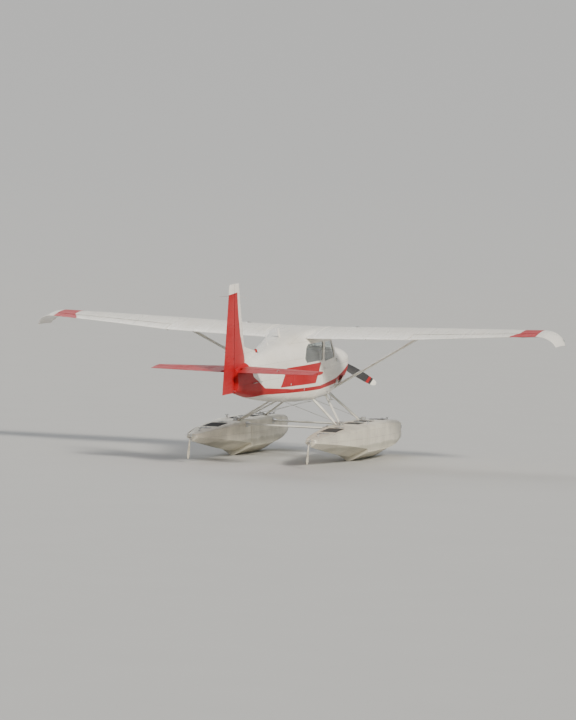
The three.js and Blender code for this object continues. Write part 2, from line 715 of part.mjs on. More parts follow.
// The space that the stabilizer takes through the tailcone.
function stabilizerSlot() {
  return between(stabSurface, STAB_STATIONS, (section, y) => {
    const hinge = stabSurface.hinge(y);
    const front = frontSkin(section, hinge.c, hinge.c);
    return front.map(([c, h]) => [c + (c < 1 ? -GAP : 0), h + Math.sign(h) * GAP]);
  });
}

function elevator() {
  const end = STAB.half - RUN;
  const halves = [1, -1].map((side) => {
    const half = between(stabSurface, [ELEVATOR.inner, end], (section, y) =>
      noseProfile(section, stabSurface.hinge(y)),
    );
    const tail = STAB.rootTail;
    const slant = loft(
      [STAB.z - 100, STAB.z + 100].map((z) => [
        [STAB.hingeX - 20, ELEVATOR.inner - 5, z],
        [STAB.hingeX - 20, ELEVATOR.inner, z],
        [tail, ELEVATOR.innerTail, z],
        [tail - 20, ELEVATOR.innerTail, z],
        [tail - 20, ELEVATOR.inner - 5, z],
      ]),
    );
    return sided(half.subtract(slant), side);
  });
  const reach = ELEVATOR.inner + 30;
  const tube = rod([STAB.hingeX, -reach, STAB.z], [STAB.hingeX, reach, STAB.z], ELEVATOR.tube);
  const whole = joined([...halves, tube]);
  return ELEVATOR_HINGES.reduce((rest, y) => rest.subtract(hingeSlot(stabSurface, y)), whole);
}

const FIN_RATIO = 0.077;
const finPart = (z) => (z - FIN.base) / (FIN.top - FIN.base);
const finLead = (z) => mix(FIN.baseLead, FIN.topLead, finPart(z));
const finTail = (z) => mix(FIN.topTail, RUDDER.bottomTail, (FIN.top - z) / (FIN.top - RUDDER.bottom));
const finSection = (z) => ({ chord: finLead(z) - finTail(z), ratio: FIN_RATIO, camber: 0 });
const finSurface = {
  section: finSection,
  place: (z, c, h) => [finLead(z) - c, h, z],
  hinge: (z) => hingeOf(finSection(z), finLead(z) - FIN.hingeX),
};
const RUDDER_HINGES = [1150, 1780, 2420];
const LOW_RUDDER_HINGE = 640;

function fin() {
  const body = between(finSurface, [FIN.base, FIN.top], (section, z) =>
    coveProfile(section, finSurface.hinge(z)),
  );
  const dorsal = loft([
    [[-4060, -2, 1090], [-4060, 2, 1090], [-4060, 2, 1195], [-4060, -2, 1195]],
    [[-5040, -26, 1000], [-5040, 26, 1000], [-5040, 10, 1330], [-5040, -10, 1330]],
  ]);
  const plates = RUDDER_HINGES.map((z) => hingePlate(finSurface, z));
  return joined([body, dorsal, ...plates]).subtract(outerGrown);
}

function rudder() {
  const body = between(finSurface, [RUDDER.bottom, FIN.top], (section, z) =>
    noseProfile(section, finSurface.hinge(z)),
  );
  const hinges = [LOW_RUDDER_HINGE, ...RUDDER_HINGES];
  return hinges.reduce((rest, z) => rest.subtract(hingeSlot(finSurface, z)), body);
}

function tailcone() {
  const shell = hull(FUSELAGE, 0, TAIL_STATIONS);
  const hollow = hull(FUSELAGE, -30, [CABIN_REAR, -4400, -5500]);
  const tubeHole = rod([STAB.hingeX, -WIDE, STAB.z], [STAB.hingeX, WIDE, STAB.z], ELEVATOR.hole, 14);
  const body = shell.subtract(hollow).subtract(stabilizerSlot()).subtract(tubeHole);
  return body.add(hingePlate(finSurface, LOW_RUDDER_HINGE));
}

// Nose: cowl, engine, propeller

const COWL_STATIONS = [GAP, 350, 700, 950, 1070, 1120];
const COWL_WALL = 20;

function cowlShell() {
  const inside = hull(COWL, -COWL_WALL, [-1, 350, 700, 950, 1070, 1100]);
  let shell = hull(COWL, 0, COWL_STATIONS).subtract(inside);
  shell = shell.subtract(rod([1000, 0, THRUST_Z], [1200, 0, THRUST_Z], 95, 16));
  for (const y of [-205, 205]) {
    const intake = rod([1000, y, THRUST_Z + 20], [1200, y, THRUST_Z + 20], 66, 12);
    shell = shell.subtract(intake);
  }
  return shell.subtract(box(-5, 190, -210, 210, 0, 140));
}

function engine() {
  const block = box(150, 920, -330, 330, 470, 740);
  const sump = box(260, 860, -150, 150, 330, 480);
  const snout = rod([900, 0, THRUST_Z], [PROP.face - GAP, 0, THRUST_Z], 60, 14);
  const mounts = [-1, 1].flatMap((side) =>
    [500, 710].map((z) => rod([-30, side * 300, z], [180, side * 240, z], 16, 8)),
  );
  const exhaust = rod([300, 110, 420], [110, 130, 30], 32);
  return joined([block, sump, snout, exhaust, ...mounts]).intersect(slab(GAP, PROP.face, -50, TALL));
}

// Blade sections: distance from the axis, chord, thickness and pitch in degrees
const BLADE_ROWS = [
  { r: 40, chord: 84, thick: 80, pitch: 55 },
  { r: 165, chord: 96, thick: 62, pitch: 50 },
  { r: 300, chord: 148, thick: 38, pitch: 42 },
  { r: 560, chord: 178, thick: 23, pitch: 31 },
  { r: 850, chord: 160, thick: 14, pitch: 23 },
  { r: 1020, chord: 122, thick: 9, pitch: 19 },
  { r: PROP.radius, chord: 56, thick: 5, pitch: 17 },
];

function propeller() {
  const middle = PROP.face + 60;
  const blade = loft(
    BLADE_ROWS.map(({ r, chord, thick, pitch }) =>
      Array.from({ length: 8 }, (_, i) => {
        const angle = (2 * Math.PI * i) / 8;
        const [along, across] = [(Math.cos(angle) * chord) / 2, (Math.sin(angle) * thick) / 2];
        const turn = radians(pitch);
        const x = middle + along * Math.sin(turn) + across * Math.cos(turn);
        return [x, r, -along * Math.cos(turn) + across * Math.sin(turn)];
      }),
    ),
  );
  const hub = rod([PROP.face, 0, 0], [PROP.face + 110, 0, 0], PROP.hub, 16);
  const spun = (angle) => new THREE.Matrix4().makeRotationX(radians(angle));
  const both = joined([hub, moved(blade, spun(PROP.rest)), moved(blade, spun(PROP.rest + 180))]);
  return moved(both, new THREE.Matrix4().makeTranslation(0, 0, THRUST_Z));
}

const HUB_GAP = 0.5; // the hub and the bore round it have the same sides, in line

function spinner() {
  const base = PROP.face + 8;
  const profile = [
    [PROP.hub + HUB_GAP, base],
    [PROP.spinner, base],
    [PROP.spinner - 6, base + 90],
    [134, base + 175],
    [72, base + 255],
    [0, PROP.tip],
    [0, PROP.tip - 9],
    [66, base + 247],
    [127, base + 170],
    [PROP.spinner - 12, base + 90],
    [PROP.spinner - 8, base + 8],
    [PROP.hub + HUB_GAP, base + 8],
  ].map(([r, x]) => new THREE.Vector2(r, x));
  const geometry = new THREE.LatheGeometry([...profile, profile[0]], 16);
  const shell = solid(geometry.rotateZ(-Math.PI / 2));
  const cut = rod([PROP.face + 60, -300, 0], [PROP.face + 60, 300, 0], 58, 12);
  const open = shell.subtract(moved(cut, new THREE.Matrix4().makeRotationX(radians(PROP.rest))));
  return moved(open, new THREE.Matrix4().makeTranslation(0, 0, THRUST_Z));
}

// Cabin fittings

const YOKE = { x: -460, y: 265, z: 770, radius: 105 };

function instrumentPanel() {
  const space = hull(FUSELAGE, -WALL - GAP, CABIN_STATIONS.slice(1, 3));
  const board = space.intersect(slab(-334, -312, 560, 915));
  const shelf = space.intersect(slab(-314, -180, 890, 915));
  const yokes = [-1, 1].flatMap((side) => {
    const y = side * YOKE.y;
    const shaft = rod([-325, y, YOKE.z], [YOKE.x - 6, y, YOKE.z], 11, 8);
    const ring = new THREE.TorusGeometry(YOKE.radius, 12, 6, 12).rotateY(Math.PI / 2);
    const wheel = solid(ring.translate(YOKE.x, y, YOKE.z));
    const spoke = box(YOKE.x - 7, YOKE.x + 7, y - YOKE.radius, y + YOKE.radius, YOKE.z - 14, YOKE.z + 14);
    return [shaft, wheel, spoke];
  });
  return joined([board, shelf, ...yokes]);
}

const SEAT = { front: -590, rear: -1060, wide: 450, z: 360, thick: 110, top: 1010, y: 265 };

function frontSeat(side) {
  const [low, high] = [side * SEAT.y - SEAT.wide / 2, side * SEAT.y + SEAT.wide / 2];
  const cushion = box(SEAT.rear, SEAT.front, low, high, SEAT.z, SEAT.z + SEAT.thick);
  const { rear, z, top } = SEAT;
  const outline = [[rear + 60, z + 60], [rear - 50, z + 40], [rear - 190, top], [rear - 90, top + 10]];
  const back = sidePrism(outline, low, high);
  const legs = [low + 110, high - 110].map((y) =>
    box(rear + 30, SEAT.front - 60, y - 18, y + 18, FLOOR_Z + GAP, z + 5),
  );
  return joined([cushion, back, ...legs]);
}

function rearSeat() {
  const cushion = box(-1990, -1560, -450, 450, 350, 460);
  const back = sidePrism([[-1940, 400], [-2040, 390], [-2150, 960], [-2060, 970]], -450, 450);
  const base = [-300, 0, 300].map((y) => box(-1950, -1610, y - 20, y + 20, FLOOR_Z + GAP, 355));
  return joined([cushion, back, ...base]);
}

// World frame: what joins the airframe and the floats

const airframePlace = new THREE.Matrix4()
  .makeTranslation(FIREWALL_X, 0, BELLY_Z)
  .multiply(new THREE.Matrix4().makeRotationY(radians(-NOSE_UP)));
const inWorld = (x, y, z) => new THREE.Vector3(x, y, z).applyMatrix4(airframePlace).toArray();

function floatRing(row, grow = 0) {
  const half = row.half + grow;
  const [keel, chine, deck] = [row.keel - grow, row.chine, row.deck + grow];
  const side = [
    [KEEL_HALF, keel],
    [half * 0.55, mix(keel, chine, 0.58)],
    [half, chine],
    [half - 8, mix(chine, deck, 0.6)],
    [half * 0.93, deck - 42],
    [half * 0.66, deck - 8],
  ];
  const other = side.map(([y, z]) => [-y, z]).reverse();
  return [...side, ...other].map(([y, z]) => [FLOAT_BOW - row.s, FLOAT_Y + y, z]);
}

const STERN_X = FLOAT_BOW - FLOAT_ROWS[FLOAT_ROWS.length - 1].s;
const RUDDER_POST = { x: STERN_X - 46, low: 438, high: 548, pin: 7, bore: 7.4, tube: 17 };

// Two lugs at the stern with an upright pin between them for the water rudder's post.
function sternLugs() {
  const { x, low, high, pin } = RUDDER_POST;
  const lug = (z0, z1) =>
    box(x, STERN_X + 20, FLOAT_Y - 18, FLOAT_Y + 18, z0, z1).add(rod([x, FLOAT_Y, z0], [x, FLOAT_Y, z1], 18));
  const upright = rod([x, FLOAT_Y, low - 6], [x, FLOAT_Y, high + 6], pin);
  return joined([lug(low - 12, low), lug(high, high + 12), upright]);
}

const floatHull = (grow) => loft(FLOAT_ROWS.map((row) => floatRing(row, grow)));
const floatBody = () => floatHull(0).add(sternLugs());

const BLADE_AXIS = { x: RUDDER_POST.x - 78, z: 470 };
const BLADE_HALF = 6;

// The tiller in plan, swept back so that it clears the stern: x back from the post, y off it
const TILLER = [[12, -10], [12, 10], [-44, 116], [-60, 108], [-16, 0], [-60, -108], [-44, -116]];

function waterRudderPost() {
  const { x, low, high, bore, tube } = RUDDER_POST;
  const barrel = rod([x, FLOAT_Y, low + GAP], [x, FLOAT_Y, high - GAP], tube);
  const y = FLOAT_Y;
  const cheeks = [-1, 1].map((side) => {
    const [near, far] = [side * (BLADE_HALF + 2), side * (BLADE_HALF + 10)];
    const [from, to] = [Math.min(near, far), Math.max(near, far)];
    const plate = box(BLADE_AXIS.x, x, y + from, y + to, BLADE_AXIS.z - 16, BLADE_AXIS.z + 40);
    return plate.add(rod([BLADE_AXIS.x, y + from, BLADE_AXIS.z], [BLADE_AXIS.x, y + to, BLADE_AXIS.z], 16));
  });
  const web = box(x - 26, x, y - BLADE_HALF - 4, y + BLADE_HALF + 4, BLADE_AXIS.z - 16, BLADE_AXIS.z + 40);
  const reach = BLADE_HALF + 8;
  const pin = rod([BLADE_AXIS.x, y - reach, BLADE_AXIS.z], [BLADE_AXIS.x, y + reach, BLADE_AXIS.z], PIN);
  const tiller = loft([high - 22, high - 10].map((z) => TILLER.map(([back, off]) => [x + back, y + off, z])));
  return joined([barrel, ...cheeks, web, pin, tiller]).subtract(rod([x, y, low - 5], [x, y, high + 5], bore));
}

const WATER_BLADE = [
  [16, 6],
  [-12, 12],
  [-60, -70],
  [-150, -330],
  [-120, -395],
  [-40, -400],
  [4, -330],
  [14, -120],
];

function waterRudderBlade() {
  const outline = WATER_BLADE.map(([x, z]) => [BLADE_AXIS.x + x, BLADE_AXIS.z + z]);
  const plate = sidePrism(outline, FLOAT_Y - BLADE_HALF, FLOAT_Y + BLADE_HALF);
  const across = (half, radius) =>
    rod([BLADE_AXIS.x, FLOAT_Y - half, BLADE_AXIS.z], [BLADE_AXIS.x, FLOAT_Y + half, BLADE_AXIS.z], radius);
  return plate.add(across(BLADE_HALF, 16)).subtract(across(20, BORE));
}

const fuselageWorld = moved(outerGrown, airframePlace);
const floatGrown = floatHull(GAP);
const STRUT_TOPS = { front: [-150, 300, 70], rear: [-1450, 350, 50] };
const DECK_Y = 1090;
const DECK_X = { front: -150, rear: -1950 };

// Float struts: name, fuselage fitting, deck fitting's place along the airframe, chord, thickness
const FLOAT_STRUTS = [
  { name: "front", top: "front", deckX: DECK_X.front, chord: 105, thick: 46 },
  { name: "rear", top: "rear", deckX: DECK_X.rear, chord: 105, thick: 46 },
  { name: "diagonal", top: "front", deckX: DECK_X.rear + 170, chord: 76, thick: 36 },
];

function floatStrut({ name, top, deckX, chord, thick }) {
  const [x, y, z] = STRUT_TOPS[top];
  const upper = inWorld(name === "diagonal" ? x - 190 : x, y, z);
  const bar = strut(upper, [FIREWALL_X + deckX, DECK_Y, 700], chord, thick);
  return bar.subtract(fuselageWorld).subtract(floatGrown);
}

function spreaderBar(deckX) {
  const bar = strut([FIREWALL_X + deckX, -1000, 660], [FIREWALL_X + deckX, 1000, 660], 92, 44);
  return bar.subtract(floatGrown).subtract(mirrored(floatGrown));
}

const WING_STRUT = { low: [-120, 345, 90], high: [-1000, 2520, 1352], chord: 120, thick: 52 };

function wingStrut(wingSolid) {
  const bar = strut(WING_STRUT.low, WING_STRUT.high, WING_STRUT.chord, WING_STRUT.thick);
  const lowered = new THREE.Matrix4().makeTranslation(0, 0, -GAP);
  const cut = bar.subtract(outerGrown).subtract(wingSolid).subtract(moved(wingSolid, lowered));
  return cut.decompose().sort((a, b) => b.volume() - a.volume())[0];
}

// The scene

function mesh(name, body, material) {
  const made = body.getMesh();
  const positions = new Float32Array(made.numVert * 3);
  for (let i = 0; i < made.numVert; i++)
    positions.set(made.vertProperties.subarray(i * made.numProp, i * made.numProp + 3), i * 3);
  const geometry = fromArrays(positions, Array.from(made.triVerts)).toNonIndexed();
  geometry.computeVertexNormals();
  const out = new THREE.Mesh(geometry, material);
  out.name = name;
  return out;
}

const part = new THREE.Group();
const airframe = new THREE.Group();
airframe.rotation.y = radians(-NOSE_UP);
airframe.position.set(FIREWALL_X, 0, BELLY_Z);
part.add(airframe);

const SIDES = [["left", 1], ["right", -1]];

const cowl = cowlShell();
airframe.add(
  mesh("belly_pan", bellyPan(), WHITE),
  mesh("boot_cowl", bootCowl(), WHITE),
  mesh("cabin_roof", cabinRoof(), WHITE),
  mesh("tailcone", tailcone(), RED),
  mesh("windshield", windshield(), GLASS),
  mesh("baggage_door", baggageDoor(), RED),
  mesh("instrument_panel", instrumentPanel(), DARK),
  mesh("seat_rear", rearSeat(), CLOTH),
  mesh("cowl_upper", cowl.intersect(slab(-5, 1200, THRUST_Z + GAP, TALL)), WHITE),
  mesh("cowl_lower", cowl.intersect(slab(-5, 1200, -50, THRUST_Z)), WHITE),
  mesh("engine", engine(), DARK),
  mesh("propeller", propeller(), BLADE),
  mesh("spinner", spinner(), WHITE),
  mesh("stabilizer", stabilizer(), WHITE),
  mesh("elevator", elevator(), WHITE),
  mesh("fin", fin(), WHITE),
  mesh("rudder", rudder(), RED),
);

const wingSolid = wing();
const pieces = {
  wing: [wingSolid, WHITE],
  wingtip: [wingTip(), WHITE],
  aileron: [aileron(), WHITE],
  flap: [flap(), WHITE],
  wing_strut: [wingStrut(wingSolid), WHITE],
};
const worldPieces = {
  float: [floatBody(), ALLOY],
  water_rudder_post: [waterRudderPost(), ALLOY],
  water_rudder_blade: [waterRudderBlade(), ALLOY],
};
for (const row of FLOAT_STRUTS) worldPieces["float_strut_" + row.name] = [floatStrut(row), WHITE];

for (const [name, side] of SIDES) {
  airframe.add(
    mesh("side_panel_" + name, sidePanel(side), WHITE),
    mesh("door_" + name, cabinDoor(side), RED),
    mesh("door_window_" + name, pane(DOOR_WINDOW, side), GLASS),
    mesh("window_rear_" + name, pane(REAR_WINDOW, side), GLASS),
    mesh("seat_front_" + name, frontSeat(side), CLOTH),
  );
  for (const [kind, [body, material]] of Object.entries(pieces))
    airframe.add(mesh(kind + "_" + name, sided(body, side), material));
  for (const [kind, [body, material]] of Object.entries(worldPieces))
    part.add(mesh(kind + "_" + name, sided(body, side), material));
}
part.add(mesh("spreader_bar_front", spreaderBar(DECK_X.front), ALLOY));
part.add(mesh("spreader_bar_rear", spreaderBar(DECK_X.rear), ALLOY));

// Hinge lines in the world frame: a point and a direction, turned by the right-hand rule.
const turnedOnly = (x, y, z) => new THREE.Vector3(x, y, z).transformDirection(airframePlace).toArray();
const line = (surface, from, to) => {
  const start = new THREE.Vector3(...inWorld(...hingePoint(surface, from)));
  const end = new THREE.Vector3(...inWorld(...hingePoint(surface, to)));
  return { point: start.toArray(), axis: end.sub(start).normalize().toArray() };
};
const leafHinge = ({ x, y, heights }) => ({ point: inWorld(x, y, heights[0]), axis: turnedOnly(0, 0, -1) });
part.userData.pivots = {
  propeller: { point: inWorld(PROP.face, 0, THRUST_Z), axis: turnedOnly(1, 0, 0) },
  rudder: { point: inWorld(FIN.hingeX, 0, LOW_RUDDER_HINGE), axis: turnedOnly(0, 0, 1) },
  elevator: { point: inWorld(STAB.hingeX, 0, STAB.z), axis: [0, 1, 0] },
  aileron_left: line(aileronSurface, AILERON.from, AILERON.to),
  flap_left: line(flapSurface, FLAP.to, FLAP.from),
  door_left: leafHinge(DOOR_HINGE),
  baggage_door: leafHinge(BAGGAGE_HINGE),
  water_rudder_post_left: { point: [RUDDER_POST.x, FLOAT_Y, RUDDER_POST.low], axis: [0, 0, 1] },
  water_rudder_blade_left: { point: [BLADE_AXIS.x, FLOAT_Y, BLADE_AXIS.z], axis: [0, 1, 0] },
};

export default part;
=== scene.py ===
"""Looks of the floatplane: fine skins, fittings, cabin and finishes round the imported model.

Lengths are metres. Airframe coordinates run forward from the firewall, to port, and up from the belly.
The airframe sits nose up on its floats, and AIRFRAME places it in the shared frame."""

import math
from types import SimpleNamespace

import bmesh
import bpy
import numpy as np
from mathutils import Matrix, Vector
from mathutils.bvhtree import BVHTree


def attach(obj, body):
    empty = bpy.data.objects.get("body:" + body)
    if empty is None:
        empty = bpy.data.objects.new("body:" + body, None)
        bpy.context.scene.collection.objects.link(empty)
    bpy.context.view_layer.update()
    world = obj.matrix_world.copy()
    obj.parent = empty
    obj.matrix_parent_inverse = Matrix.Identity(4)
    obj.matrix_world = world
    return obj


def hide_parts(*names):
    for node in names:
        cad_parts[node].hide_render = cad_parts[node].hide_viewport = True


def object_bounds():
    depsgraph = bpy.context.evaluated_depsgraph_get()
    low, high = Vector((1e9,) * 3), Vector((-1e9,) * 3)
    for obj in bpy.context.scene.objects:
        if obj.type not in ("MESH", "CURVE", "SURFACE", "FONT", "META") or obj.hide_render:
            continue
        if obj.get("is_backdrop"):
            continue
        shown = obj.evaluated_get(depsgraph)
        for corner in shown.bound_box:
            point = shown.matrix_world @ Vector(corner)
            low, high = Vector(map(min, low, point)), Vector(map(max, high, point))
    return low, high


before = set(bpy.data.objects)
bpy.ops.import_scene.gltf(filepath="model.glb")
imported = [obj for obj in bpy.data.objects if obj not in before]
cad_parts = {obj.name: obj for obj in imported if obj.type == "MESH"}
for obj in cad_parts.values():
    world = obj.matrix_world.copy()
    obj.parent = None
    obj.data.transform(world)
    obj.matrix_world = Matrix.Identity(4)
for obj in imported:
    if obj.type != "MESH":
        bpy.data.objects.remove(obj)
CAD_BOX = [list(corner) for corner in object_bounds()]

NOSE_UP = math.radians(2.5)
FIREWALL_X, BELLY_Z = 2.382, 1.255
AIRFRAME = Matrix.Translation((FIREWALL_X, 0, BELLY_Z)) @ Matrix.Rotation(-NOSE_UP, 4, "Y")
WORLD = Matrix.Identity(4)
AHEAD, PORT, UP = Vector((1, 0, 0)), Vector((0, 1, 0)), Vector((0, 0, 1))
SIDES = (("left", 1), ("right", -1))


def table(names, *rows):
    return [dict(zip(names.split(), row)) for row in rows]


# Fuselage sections: heights of bottom, widest point and top, half width, squareness low and high
FUSELAGE = table(
    "x bottom middle top half low high",
    (0, 0.055, 0.560, 0.985, 0.500, 3.6, 2.8),
    (-0.130, 0.040, 0.560, 1.000, 0.515, 4.0, 3.0),
    (-0.345, 0.020, 0.560, 1.190, 0.535, 4.5, 3.2),
    (-0.600, 0.005, 0.560, 1.400, 0.546, 5.0, 3.6),
    (-1.000, 0, 0.560, 1.462, 0.548, 5.0, 8.0),
    (-1.500, 0, 0.560, 1.455, 0.545, 5.0, 8.0),
    (-2.186, 0.015, 0.570, 1.400, 0.515, 4.5, 4.0),
    (-3.000, 0.075, 0.600, 1.300, 0.425, 3.6, 3.2),
    (-4.400, 0.240, 0.660, 1.130, 0.268, 2.8, 2.6),
    (-5.745, 0.470, 0.700, 0.950, 0.118, 2.4, 2.3),
)
COWL = table(
    "x bottom middle top half low high",
    (0, 0.055, 0.560, 0.985, 0.500, 3.6, 2.8),
    (0.350, 0.085, 0.575, 0.968, 0.488, 3.4, 2.7),
    (0.700, 0.150, 0.600, 0.922, 0.462, 3.0, 2.6),
    (0.950, 0.245, 0.625, 0.868, 0.425, 2.7, 2.5),
    (1.070, 0.320, 0.640, 0.825, 0.375, 2.5, 2.4),
    (1.120, 0.400, 0.640, 0.785, 0.310, 2.4, 2.3),
)
# How thick the cabin's wall is
WALL = 0.032
FLOOR_Z = 0.100
# The height of the engine's shaft
THRUST_Z = 0.640
CABIN_REAR = -3.000
# How far apart two cut edges that meet stand
HAIR = 0.0004

# Outlines in side view: x, z
WINDSHIELD = ((-0.118, 0.985), (-0.320, 0.925), (-0.560, 1.262), (-0.560, 1.600), (-0.118, 1.600))
DOOR = (
    (-0.345, 0.195), (-0.345, 0.833), (-0.380, 0.880), (-0.640, 1.224), (-1.290, 1.224), (-1.290, 0.195)
)
DOOR_WINDOW = ((-0.452, 0.800), (-0.690, 1.172), (-1.240, 1.172), (-1.240, 0.770))
REAR_WINDOW = (
    (-1.350, 0.805), (-2.330, 0.815), (-2.450, 0.905), (-2.330, 1.120), (-2.180, 1.195), (-1.350, 1.195)
)
BAGGAGE_DOOR = ((-2.560, 0.330), (-2.560, 0.820), (-2.960, 0.820), (-2.960, 0.330))

WING = SimpleNamespace(
    root=0.548, taper_from=2.550, tip=5.080, lead=-0.560, base=1.345, chord=1.626, tip_chord=1.150,
    rise=math.tan(math.radians(1.73)),
)
STAB = SimpleNamespace(
    z=0.900,
    half=1.650,
    root_lead=-4.860,
    tip_lead=-5.130,
    hinge=-5.560,
    root_tail=-6.050,
    tip_tail=-5.850,
)
FIN = SimpleNamespace(base=0.952, top=2.600, base_lead=-4.950, top_lead=-5.480, hinge=-5.800)
RUDDER = SimpleNamespace(bottom=0.480, bottom_tail=-6.400, top_tail=-6.080)
# The gap round the nose of a control surface
RUN = 0.006

# The middle of the port float, the tip of its bow, and its step's distance from the bow
FLOAT_Y = 1.225
FLOAT_BOW = 4.032
STEP_S = 3.300
# Float sections: s back from the bow, heights of keel, chine and deck, half beam
FLOAT_FRONT = table(
    "s keel chine deck half",
    (0, 0.450, 0.520, 0.610, 0.110),
    (0.090, 0.340, 0.480, 0.655, 0.190),
    (0.300, 0.235, 0.430, 0.700, 0.268),
    (0.700, 0.115, 0.352, 0.740, 0.345),
    (1.250, 0.035, 0.262, 0.762, 0.388),
    (1.900, 0, 0.215, 0.765, 0.400),
    (STEP_S, 0, 0.200, 0.748, 0.400),
)
FLOAT_REAR = table(
    "s keel chine deck half",
    (STEP_S + 0.002, 0.080, 0.268, 0.748, 0.396),
    (4.300, 0.190, 0.362, 0.700, 0.352),
    (5.200, 0.305, 0.436, 0.640, 0.252),
    (6.060, 0.420, 0.488, 0.566, 0.112),
)


# Plain maths


def mix(a, b, part):
    return a + (b - a) * part


def eased(value, low, high):
    """0 below low, 1 above high, and a smooth rise between them."""
    part = min(max((value - low) / (high - low), 0), 1)
    return part * part * (3 - 2 * part)


def row_at(rows, key, at):
    """A table's values at a place between its rows, smooth and without overshoot."""
    rows = sorted(rows, key=lambda row: row[key])
    places = [row[key] for row in rows]
    last = len(rows) - 2
    i = min(max(sum(place <= at for place in places) - 1, 0), last)
    step = places[i + 1] - places[i]
    t = (at - places[i]) / step
    weights = (
        (1 + 2 * t) * (1 - t) ** 2,
        t * (1 - t) ** 2 * step,
        t * t * (3 - 2 * t),
        t * t * (t - 1) * step,
    )

    def slope(values, k):
        secants = [
            (values[j + 1] - values[j]) / (places[j + 1] - places[j]) for j in (k - 1, k) if 0 <= j <= last
        ]
        if len(secants) == 1:
            return secants[0]
        p, q = secants
        return 0 if p * q <= 0 else 2 * p * q / (p + q)

    found = {}
    for name in rows[0]:
        v = [row[name] for row in rows]
        parts = (v[i], slope(v, i), v[i + 1], slope(v, i + 1))
        found[name] = sum(weight * part for weight, part in zip(weights, parts))
    return found


def spread(start, end, gap):
    """Places from start to end, both kept, about gap apart."""
    count = max(int(round(abs(end - start) / gap)), 1)
    return [mix(start, end, k / count) for k in range(count + 1)]


def even_points(path, count):
    """count points round a closed curve, closer together where it bends."""
    bend = 0.8
    closed = np.vstack([path, path[:1]])
    step = np.diff(closed, axis=0)
    length = np.linalg.norm(step, axis=1)
    heading = np.unwrap(np.arctan2(step[:, 1], step[:, 0]))
    turn = np.abs(np.diff(heading, append=heading[-1]))
    weight = length / length.sum() + bend * turn / (2 * math.pi)
    run = np.concatenate([[0], np.cumsum(weight)])
    places = np.linspace(0, run[-1], count, endpoint=False)
    return np.stack([np.interp(places, run, closed[:, k]) for k in range(2)], axis=1)


def curve_through(points, per_span=8):
    """A smooth line through points."""
    p = [Vector(point) for point in points]
    p = [2 * p[0] - p[1], *p, 2 * p[-1] - p[-2]]
    line = []
    for a, b, c, d in zip(p, p[1:], p[2:], p[3:]):
        second, third = 2 * a - 5 * b + 4 * c - d, 3 * b - a - 3 * c + d
        for k in range(per_span):
            t = k / per_span
            line.append(0.5 * (2 * b + (c - a) * t + second * t * t + third * t**3))
    return [*line, p[-2]]


def circle(count):
    return [2 * math.pi * k / count for k in range(count)]


def tapered(path, first, last):
    """A radius for each point of a path."""
    return [mix(first, last, k / (len(path) - 1)) for k in range(len(path))]


# Meshes: each maker gives (points, faces)


class Shape:
    """Points and faces of several forms, gathered into one form."""

    def __init__(self, *forms):
        self.points, self.faces = [], []
        for form in forms:
            self.add(form)

    def add(self, form, place=None):
        points, faces = form
        start = len(self.points)
        self.points += [tuple(place @ Vector(p)) if place else tuple(p) for p in points]
        self.faces += [[start + i for i in face] for face in faces]
        return self

    def __iter__(self):
        return iter((self.points, self.faces))


def mirrored(form):
    points, faces = form
    return [(x, -y, z) for x, y, z in points], [list(reversed(face)) for face in faces]


def sided(form, side):
    return form if side > 0 else mirrored(form)


def loft(rings, capped=True, joined=False):
    """A skin through rings of equal count. joined closes the last ring onto the first."""
    n = len(rings[0])
    points = [tuple(p) for ring in rings for p in ring]
    faces = []
    for r in range(len(rings) if joined else len(rings) - 1):
        near, far = r * n, (r + 1) % len(rings) * n
        faces += [[near + i, near + (i + 1) % n, far + (i + 1) % n, far + i] for i in range(n)]
    if capped and not joined:
        last = (len(rings) - 1) * n
        faces += [list(range(n))[::-1], [last + i for i in range(n)]]
    return points, faces


def prism(outline, y0, y1):
    """A side-view outline made solid from y0 to y1."""
    return loft([[(x, y, z) for x, z in outline] for y in (y0, y1)])


def plate(outline, z0, z1):
    """An outline in plan made solid from z0 to z1."""
    return loft([[(x, y, z) for x, y in outline] for z in (z0, z1)])


def bar(outline, x0, x1):
    """An outline seen from ahead made solid from x0 to x1."""
    return loft([[(x, y, z) for y, z in outline] for x in (x0, x1)])


def cuboid(x0, x1, y0, y1, z0, z1):
    return prism(((x0, z0), (x1, z0), (x1, z1), (x0, z1)), y0, y1)


def block(x0, x1, y0, y1, z0, z1, round_by=0.004, steps=2):
    """A block with rounded edges."""
    work = bmesh.new()
    points, faces = cuboid(x0, x1, y0, y1, z0, z1)
    made = [work.verts.new(p) for p in points]
    for face in faces:
        work.faces.new([made[i] for i in face])
    bmesh.ops.bevel(work, geom=work.edges[:], offset=round_by, segments=steps, affect="EDGES", profile=0.5)
    work.verts.index_update()
    form = [tuple(v.co) for v in work.verts], [[v.index for v in f.verts] for f in work.faces]
    work.free()
    return form


def block_on(centre, half_long, half_wide, low, high, round_by):
    """A rounded block about a point: half its length and width, and its faces' heights over the point."""
    x, y, z = centre
    return block(x - half_long, x + half_long, y - half_wide, y + half_wide, z + low, z + high, round_by)


def across(direction):
    """Two unit vectors square to a direction."""
    along = Vector(direction).normalized()
    first = along.cross(UP)
    if first.length < 0.05:
        first = along.cross(PORT)
    first.normalize()
    return first, along.cross(first)


def tube(path, radius, sides=12, capped=True):
    """A round bar along a path. radius is one number, or one for each point."""
    path = [Vector(p) for p in path]
    radii = radius if hasattr(radius, "__len__") else [radius] * len(path)
    first = across(path[1] - path[0])[0]
    rings = []
    for k, (p, r) in enumerate(zip(path, radii)):
        along = (path[min(k + 1, len(path) - 1)] - path[max(k - 1, 0)]).normalized()
        first = (first - along * first.dot(along)).normalized()
        second = along.cross(first)
        rings.append([p + (first * math.cos(a) + second * math.sin(a)) * r for a in circle(sides)])
    return loft(rings, capped)


